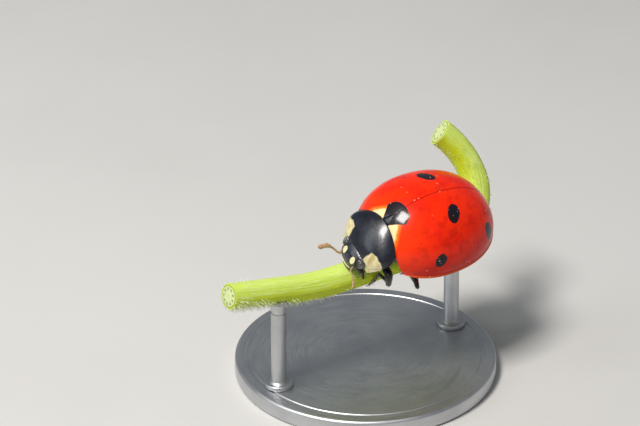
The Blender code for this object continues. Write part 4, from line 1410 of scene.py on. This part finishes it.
def chest_lift(x, y):
    """The chest's plates: a groove down the middle, a slanting one along each flank, and two across."""
    aside = abs(y)
    across = ridge(x + 0.12 * aside, *CHEST_REAR_GROOVE) + ridge(x, *CHEST_FRONT_GROOVE)
    flanks = ridge(aside + 0.25 * (x - 1.2), *CHEST_FLANK_GROOVE)
    return -(ridge(y, *CHEST_MIDDLE_GROOVE) + across + flanks + CHEST_SUNK)


def collar_ring(share, steps=48):
    """A section of the collar under the pronotum: its arch, drawn in, and a belly with folded flanks."""
    ring = []
    for across in shares(steps):
        point = pronotum_point(share, math.pi * (across - 0.5), COLLAR_INSET)
        ring.append(Vector((point.x, point.y * COLLAR_SPREAD, point.z - COLLAR_DROP)))
    margin = ring[-1]
    belly = between(*COLLAR_BELLY, share)
    for turn in spaced(0, math.pi, steps)[:-1]:
        flank = ridge(abs(math.cos(turn)), *COLLAR_FOLD)
        ring.append(Vector((margin.x, margin.y * math.cos(turn),
                            between(margin.z, belly, math.sin(turn) ** 0.8) + flank)))
    return ring


def hairy_below(point):
    return ease((0.05 - point.z) / 0.2)


def underside(finish):
    abdomen = Shape()
    rear = TRUNK_INSET - CASE_REAR
    front = TRUNK_WAIST_X - 0.01
    rings = [trunk_ring(rear * math.cos(t) + front * math.sin(t), belly_lift)
             for t in spaced(0, math.pi / 2, 150)]
    abdomen.loft(rings, (Vector((rear, 0, 0)), FLAT), patch=(0.52, 0.0, 0.46, 1.0), growth=hairy_below)
    abdomen.piece("belly_plates", BODY, finish, "underside", "abdomen", hairy=True)

    chest = Shape()
    waist = TRUNK_WAIST_X + 0.01
    rings = [trunk_ring(between(waist, TRUNK_FRONT_X, share), chest_lift) for share in shares(90)]
    chest.loft(rings, (FLAT, FLAT), patch=(0.0, 0.0, 0.46, 1.0), growth=hairy_below)
    chest.piece("chest_plates", BODY, finish, "underside", "thorax", hairy=True)

    collar = Shape()
    collar.ball(PROSTERNUM_CENTRE, PROSTERNUM_RADII, rows=40, sides=72)
    keel = smooth_path([(2.62, 0, -0.515), (2.80, 0, -0.555), (3.02, 0, -0.545), (3.14, 0, -0.49)], 20)
    collar.rod(keel, [0.075] * 20, sides=14, wide=(0, 1, 0), flatness=0.5)
    collar.ball((2.42, 0, 0.30), (0.26, 1.30, 0.78), rows=24, sides=48)
    rings = [collar_ring(between(0.03, 0.67, share)) for share in shares(40)]
    collar.loft(rings, (FLAT, FLAT), growth=hairy_below)
    collar.piece("collar_plate", FRONT, finish, "underside", "prosternum")


# Tendril and stand ---------------------------------------------------------------------------------------

HAIRY_FROM = 1.0  # the x from which the tendril is hairy, towards its front end
FEW_HAIRS = 0.05
LEAST_BELOW = 0.12  # the growth along the lower edge, as a share of what it is at the front end


def bend(start, along, towards, radius, degrees, steps):
    """Points on an arc that leaves start along one direction and turns towards another, and its last ways."""
    turn = math.radians(degrees)
    points = [start + radius * (along * math.sin(angle) + towards * (1 - math.cos(angle)))
              for angle in spaced(0, turn, steps)]
    return (points, along * math.cos(turn) + towards * math.sin(turn),
            towards * math.cos(turn) - along * math.sin(turn))


def perch_path(fineness=6):
    """Points along the tendril's middle, from the end in front of the head to the end behind the tail."""
    start = Vector((PERCH_STRAIGHT[0], 0, PERCH_HEIGHT))
    end = Vector((PERCH_STRAIGHT[1], 0, PERCH_HEIGHT))
    front, along, _ = bend(start, Vector((-1, 0, 0)), Vector((0, 0, 1)), *PERCH_FRONT_BEND, 4 * fineness)
    front += spaced(front[-1], front[-1] + along * PERCH_FRONT_RUN, 4 * fineness)
    points = front[::-1] + [start] + spaced(start, end, 6 * fineness)
    lean = math.radians(PERCH_REAR_LEAN)
    along, towards = Vector((1, 0, 0)), Vector((0, math.sin(lean), math.cos(lean)))
    for (radius, degrees), steps in zip(PERCH_REAR_BENDS, (16 * fineness, 6 * fineness)):
        arc, along, towards = bend(points[-1], along, towards, radius, degrees, steps)
        points += arc
    return points


def perch_radius(point):
    share = max(0.0, (PERCH_STRAIGHT[0] - point.x) / PERCH_TAPER_LENGTH)
    return between(PERCH_RADIUS, PERCH_TIP_RADIUS, min(share, 1.0))


def tendril(skin_finish, cut_finish):
    points = perch_path()
    line = bpy.data.meshes.new("tendril_path")
    line.from_pydata([point * MM for point in points], [(k, k + 1) for k in range(len(points) - 1)], [])
    radius = line.attributes.new("radius", "FLOAT", "POINT")
    for item, point in zip(radius.data, points):
        item.value = perch_radius(point) * MM
    mesh = grown("tendril_skin", line, ridged_stem_tree(), {
        "Step": 0.00004, "Sides": 96, "Ridges": 6.0, "Ridge depth": 0.018, "Fine ridges": 26.0,
        "Fine depth": 0.006, "Unevenness": 0.000035, "Finish": skin_finish})
    mesh.shade_smooth()
    mesh.set_sharp_from_angle(angle=math.radians(45))
    piece("tendril_skin", mesh, skin_finish, "tendril", "perch_tendril")
    for name, tip, behind in (("front", points[0], points[1]), ("rear", points[-1], points[-2])):
        cut_end("tendril_cut_" + name, tip, (tip - behind).normalized(), cut_finish)


def cut_end(name, tip, way, finish):
    """A slightly domed disc over a cut end, with a UV map centred on it."""
    radius = perch_radius(tip) * 0.975
    tool = bmesh.new()
    side = way.cross(Vector((0, 1, 0))).normalized()
    rise = side.cross(way)
    sides, rows = 64, 12
    layer = tool.loops.layers.uv.new("face")
    places = {}

    def corner_at(point, x, y):
        vert = tool.verts.new(point * MM)
        places[vert] = (0.5 + x / 2, 0.5 + y / 2)
        return vert

    rings = []
    for out in shares(rows):
        sunk = 0.02 if out == 1 else 0.0
        middle = tip + way * (0.035 * (1 - out ** 4) - sunk)
        spots = [(math.cos(turn) * out, math.sin(turn) * out) for turn in turns(sides if out else 1)]
        rings.append([corner_at(middle + (side * x + rise * y) * radius, x, y) for x, y in spots])
    back = corner_at(tip - way * 0.05, 0, 0)
    for k in range(sides):
        j = (k + 1) % sides
        tool.faces.new((rings[0][0], rings[1][k], rings[1][j]))
        tool.faces.new((back, rings[-1][j], rings[-1][k]))
        for lower, upper in zip(rings[1:], rings[2:]):
            tool.faces.new((lower[k], upper[k], upper[j], lower[j]))
    bmesh.ops.recalc_face_normals(tool, faces=tool.faces)
    for face in tool.faces:
        for corner in face.loops:
            corner[layer].uv = places[corner.vert]
    mesh = used_up(tool, name)
    mesh.shade_smooth()
    piece(name, mesh, finish, "tendril")


def tendril_hair_skin():
    """The tube that the tendril's hairs grow from."""
    shape = Shape()
    rings = []
    points = perch_path(3)
    for i, point in enumerate(points):
        way = way_at(points, i)
        rings.append([point + (perch_radius(point) - HAIR_ROOM) * round_the_way(way, t) for t in turns(24)])
    shape.loft(rings, growth=hair_growth)
    return shape.mesh("tendril_hair_skin", SHARED)


def hair_growth(point):
    """Hairs are many along the tendril's lower edge and towards its front end."""
    if point.x > HAIRY_FROM:
        return FEW_HAIRS
    middle = PERCH_HEIGHT + max(0.0, PERCH_STRAIGHT[0] - point.x) ** 2 / (2 * PERCH_FRONT_BEND[0])
    below = ease((middle - 0.15 - point.z) / 0.35)
    front = ease((-1.0 - point.x) / 5.5)
    return below * between(LEAST_BELOW, 1, front) + FEW_HAIRS * ease((-5.6 - point.x) / 1.6)


def lathe(shape, profile, centre, sides):
    rings = [[Vector((centre[0] + radius * math.cos(t), centre[1] + radius * math.sin(t), height))
              for t in turns(sides)] for radius, height in profile]
    shape.loft(rings, (FLAT, FLAT))


def rounded(radius, height, size, start_degrees, end_degrees, steps=6):
    """Points on a rounded corner of a turned profile, whose centre is at that radius and height."""
    angles = [math.radians(between(start_degrees, end_degrees, share)) for share in shares(steps)]
    return [(radius + size * math.cos(t), height + size * math.sin(t)) for t in angles]


def stand(base_finish, rod_finish):
    base = Shape()
    corner, groove, depth, top = 0.15, BASE_RADIUS - 0.62, 0.03, BASE_THICKNESS
    edge = BASE_RADIUS - corner
    profile = [(edge - 0.45, 0.05), (edge - 0.30, 0.0)] + rounded(edge, corner, corner, -90, 0)
    profile += rounded(edge, top - corner, corner, 0, 90)
    profile += [(groove + 0.09, top), (groove + 0.06, top - depth), (groove - 0.06, top - depth),
                (groove - 0.09, top), (0.4, top)]
    lathe(base, profile, (0, 0), sides=200)
    base.piece("base_plate", SHARED, base_finish, "stand", "stand_base", sharp_degrees=30)
    for name, x in (("front", -ROD_REACH), ("rear", ROD_REACH)):
        carried = min(perch_path(1), key=lambda point: abs(point.x - x))
        foot, top = BASE_THICKNESS, carried.z - perch_radius(carried)
        neck = top - 0.55
        full, slim, corner, flange = ROD_RADIUS, ROD_RADIUS - 0.03, 0.06, 0.62
        profile = [(0.02, foot)] + rounded(flange, foot + corner, corner, -90, 0, 3)
        profile += rounded(flange, foot + 0.16, corner, 0, 90, 4)
        profile += [(full + 0.10, foot + 0.22), (full + 0.02, foot + 0.28), (full, foot + 0.38), (full, neck),
                    (slim, neck + 0.02), (slim, neck + 0.08), (full, neck + 0.10), (full, top - 0.06),
                    (slim, top - 0.02), (0.02, top - 0.02)]
        rod = Shape()
        lathe(rod, profile, (x, carried.y), sides=64)
        saddle(rod, carried, x)
        rod.piece(f"rod_{name}", SHARED, rod_finish, "stand", f"stand_rod_{name}", sharp_degrees=30)


def saddle(shape, carried, x):
    """A curved cradle on the rod's top, which fits under the tendril."""
    points = perch_path(6)
    near = min(range(len(points)), key=lambda k: abs(points[k].x - x))
    way = way_at(points, near)
    inner, outer = perch_radius(carried) + 0.012, perch_radius(carried) + 0.10
    arc = [math.radians(90 - angle) for angle in range(-58, 59, 4)]
    rings = []
    for step in range(-8, 9):
        point = points[near] + way * step * 0.04
        under = [point + inner * round_the_way(way, t) for t in arc]
        over = [point + outer * round_the_way(way, t) for t in reversed(arc)]
        rings.append(under + over)
    shape.loft(rings, (FLAT, FLAT))


# Scene ---------------------------------------------------------------------------------------------------


def camera():
    """Looks down on the animal's left side from the front."""
    azimuth, elevation = math.radians(CAMERA_AZIMUTH), math.radians(CAMERA_ELEVATION)
    right = Vector((math.cos(azimuth), math.sin(azimuth), 0))
    back = Vector((math.sin(azimuth) * math.cos(elevation), -math.cos(azimuth) * math.cos(elevation),
                   math.sin(elevation)))
    up = back.cross(right)
    data = bpy.data.cameras.new("camera")
    data.lens = LENS
    data.sensor_width = SENSOR
    data.clip_start = 0.001
    made = put_in_scene("camera", data)
    place = Matrix((right, up, back)).transposed().to_4x4()
    aim = BODY.translation + (CAMERA_AIM[0] * right + CAMERA_AIM[1] * up) * MM
    place.translation = aim + back * CAMERA_DISTANCE
    made.matrix_world = place
    bpy.context.scene.camera = made


def softbox(name, direction, size, watts, colour):
    data = bpy.data.lights.new(name, "AREA")
    data.shape = "RECTANGLE"
    data.size, data.size_y = size
    data.energy = watts
    data.color = colour
    made = put_in_scene(name, data)
    way = Vector(direction).normalized()
    made.location = BODY.translation + way * LIGHT_REACH
    made.rotation_mode = "QUATERNION"
    made.rotation_quaternion = way.to_track_quat("Z", "Y")


def studio():
    world = bpy.data.worlds.new("studio")
    bpy.context.scene.world = world
    world.use_nodes = True
    background = world.node_tree.nodes["Background"]
    background.inputs["Color"].default_value = (0.86, 0.92, 1.0, 1)
    background.inputs["Strength"].default_value = 0.24
    bpy.context.scene.view_settings.view_transform = "Standard"

    mesh = bpy.data.meshes.new("studio_floor")
    corners = [(-1, -1), (1, -1), (1, 1), (-1, 1)]
    mesh.from_pydata([(x * FLOOR_HALF, y * FLOOR_HALF, 0) for x, y in corners], [], [(0, 1, 2, 3)])
    finish = Finish("pale_floor", SHARED, Roughness=0.7)
    clouds = mottle(finish.place, 30.0, (0.58, 0.57, 0.55), (0.53, 0.52, 0.50), amount=0.6)
    finish.feed("Base Color", clouds["Colour"])
    mesh.materials.append(finish.material)
    put_in_scene("studio_floor", mesh)

    softbox("key_light", (-0.47, -0.07, 0.88), (0.044, 0.044), 0.30, (1.0, 0.97, 0.93))
    softbox("strip_light", (-0.81, 0.30, 0.52), (0.035, 0.10), 0.040, (0.90, 0.95, 1.0))
    softbox("fill_light", (-0.75, -1.0, 0.55), (0.36, 0.24), 0.028, (0.92, 0.95, 1.0))


def coat(name, slot, finish, tree, density, **values):
    """One piece of hair over all the skins of a slot. Density counts hairs in a square millimetre."""
    settings = {key.replace("_", " ").capitalize(): value for key, value in values.items()}
    settings |= {"Hairs in a square millimetre": density, "Finish": finish}
    piece(name, grown(name, joined(name + "_skin", SKINS[slot]), tree, settings), finish, slot)


def eye(side, finish, tree):
    name = "eye_facets_" + side
    mesh = grown(name, bpy.data.meshes.new("eye_seed"), tree, {
        "Centre": mirrored(EYE_CENTRE, side), "Radii": Vector(EYE_RADII), "Fineness": 5, "Lens height": 0.022,
        "Lens share": 0.72, "Finish": finish})
    mesh.transform(FRONT)
    piece(name, mesh, finish, "eye", "eye_" + side)


def main():
    camera()
    studio()
    cream = plain_finish("cream_edge", FRONT, (0.80, 0.74, 0.46), (0.60, 0.52, 0.28), 0.12,
                         Specular_IOR_Level=0.4)
    eye_black = plain_finish("eye", FRONT, (0.006, 0.005, 0.007), (0.016, 0.012, 0.014), 0.1,
                             rough=(0.16, 0.26), bump_depth=0.001, Coat_Weight=1.0, Coat_Roughness=0.06,
                             Specular_IOR_Level=0.9)
    feeler_tan = plain_finish("feeler_tan", FRONT, (0.50, 0.31, 0.15), (0.30, 0.14, 0.05), 0.16,
                              rough=(0.35, 0.5), Subsurface_Weight=0.15,
                              Subsurface_Radius=(0.0002, 0.0001, 0.00005))
    mouth_black = plain_finish("mouth_black", FRONT, (0.012, 0.010, 0.011), (0.05, 0.028, 0.016), 0.15,
                               Coat_Weight=0.4, Coat_Roughness=0.15)
    jaw_brown = plain_finish("jaw_brown", FRONT, (0.16, 0.055, 0.018), (0.03, 0.012, 0.008), 0.14,
                             Coat_Weight=0.4, Coat_Roughness=0.1)
    leg_black = plain_finish("leg_black", BODY, (0.010, 0.009, 0.011), (0.034, 0.026, 0.022), 0.3,
                             rough=(0.22, 0.36), Coat_Weight=0.9, Coat_Roughness=0.10)
    claw_brown = plain_finish("claw_brown", BODY, (0.22, 0.075, 0.02), (0.06, 0.02, 0.01), 0.1,
                              Coat_Weight=0.5, Coat_Roughness=0.1)
    shell_red = wing_case_finish()
    shield_black = pronotum_finish()

    for side in ("left", "right"):
        wing_case(side, shell_red)
    scutellum(shield_black)
    pronotum(shield_black)
    head(head_finish())
    mouthparts(mouth_black, cream, jaw_brown)
    eye_tree = facet_tree()
    for side in ("left", "right"):
        palp(side, mouth_black)
        antenna(side, feeler_tan)
        eye(side, eye_black, eye_tree)
    legs = [(pair, side) for side in ("left", "right") for pair in LEG_JOINTS]
    for number, (pair, side) in enumerate(legs):
        leg(pair, side, leg_black, claw_brown, number)
    underside(underside_finish())
    tendril(tendril_finish(), tendril_cut_finish())
    stand(steel_finish("turned_steel", (4.0, 1.0, 1.0), turned=True),
          steel_finish("drawn_steel", (6.0, 6.0, 0.4), turned=False))

    SKINS["tendril"] = [tendril_hair_skin()]
    bristles = bristle_tree()
    pale_hair = hair_finish("pale_bristles", (0.55, 0.50, 0.42), (0.75, 0.72, 0.64))
    green_hair = hair_finish("tendril_hair", (0.82, 0.88, 0.62), (0.95, 0.96, 0.86))
    coat("tendril_hairs", "tendril", green_hair, bristles, density=210.0, seed=11, length=0.00031,
         least_length=0.35, root_radius=0.000014, bend=0.25, lean=-0.12, disorder=0.25)
    coat("leg_bristles", "leg", pale_hair, bristles, density=170.0, seed=21, length=0.00010,
         least_length=0.5, root_radius=0.0000045, bend=0.25, lean=0.62, disorder=0.25)
    coat("belly_down", "underside", pale_hair, bristles, density=110.0, seed=31, length=0.00009,
         least_length=0.5, root_radius=0.000004, bend=0.25, lean=0.72, disorder=0.2)
    coat("antenna_bristles", "antenna", pale_hair, bristles, density=900.0, seed=41, length=0.00005,
         least_length=0.5, root_radius=0.000003, bend=0.2, lean=0.45, disorder=0.25)
    coat("head_down", "head", pale_hair, bristles, density=60.0, seed=51, length=0.00008,
         least_length=0.4, root_radius=0.0000035, bend=0.3, lean=0.4, disorder=0.3)


main()
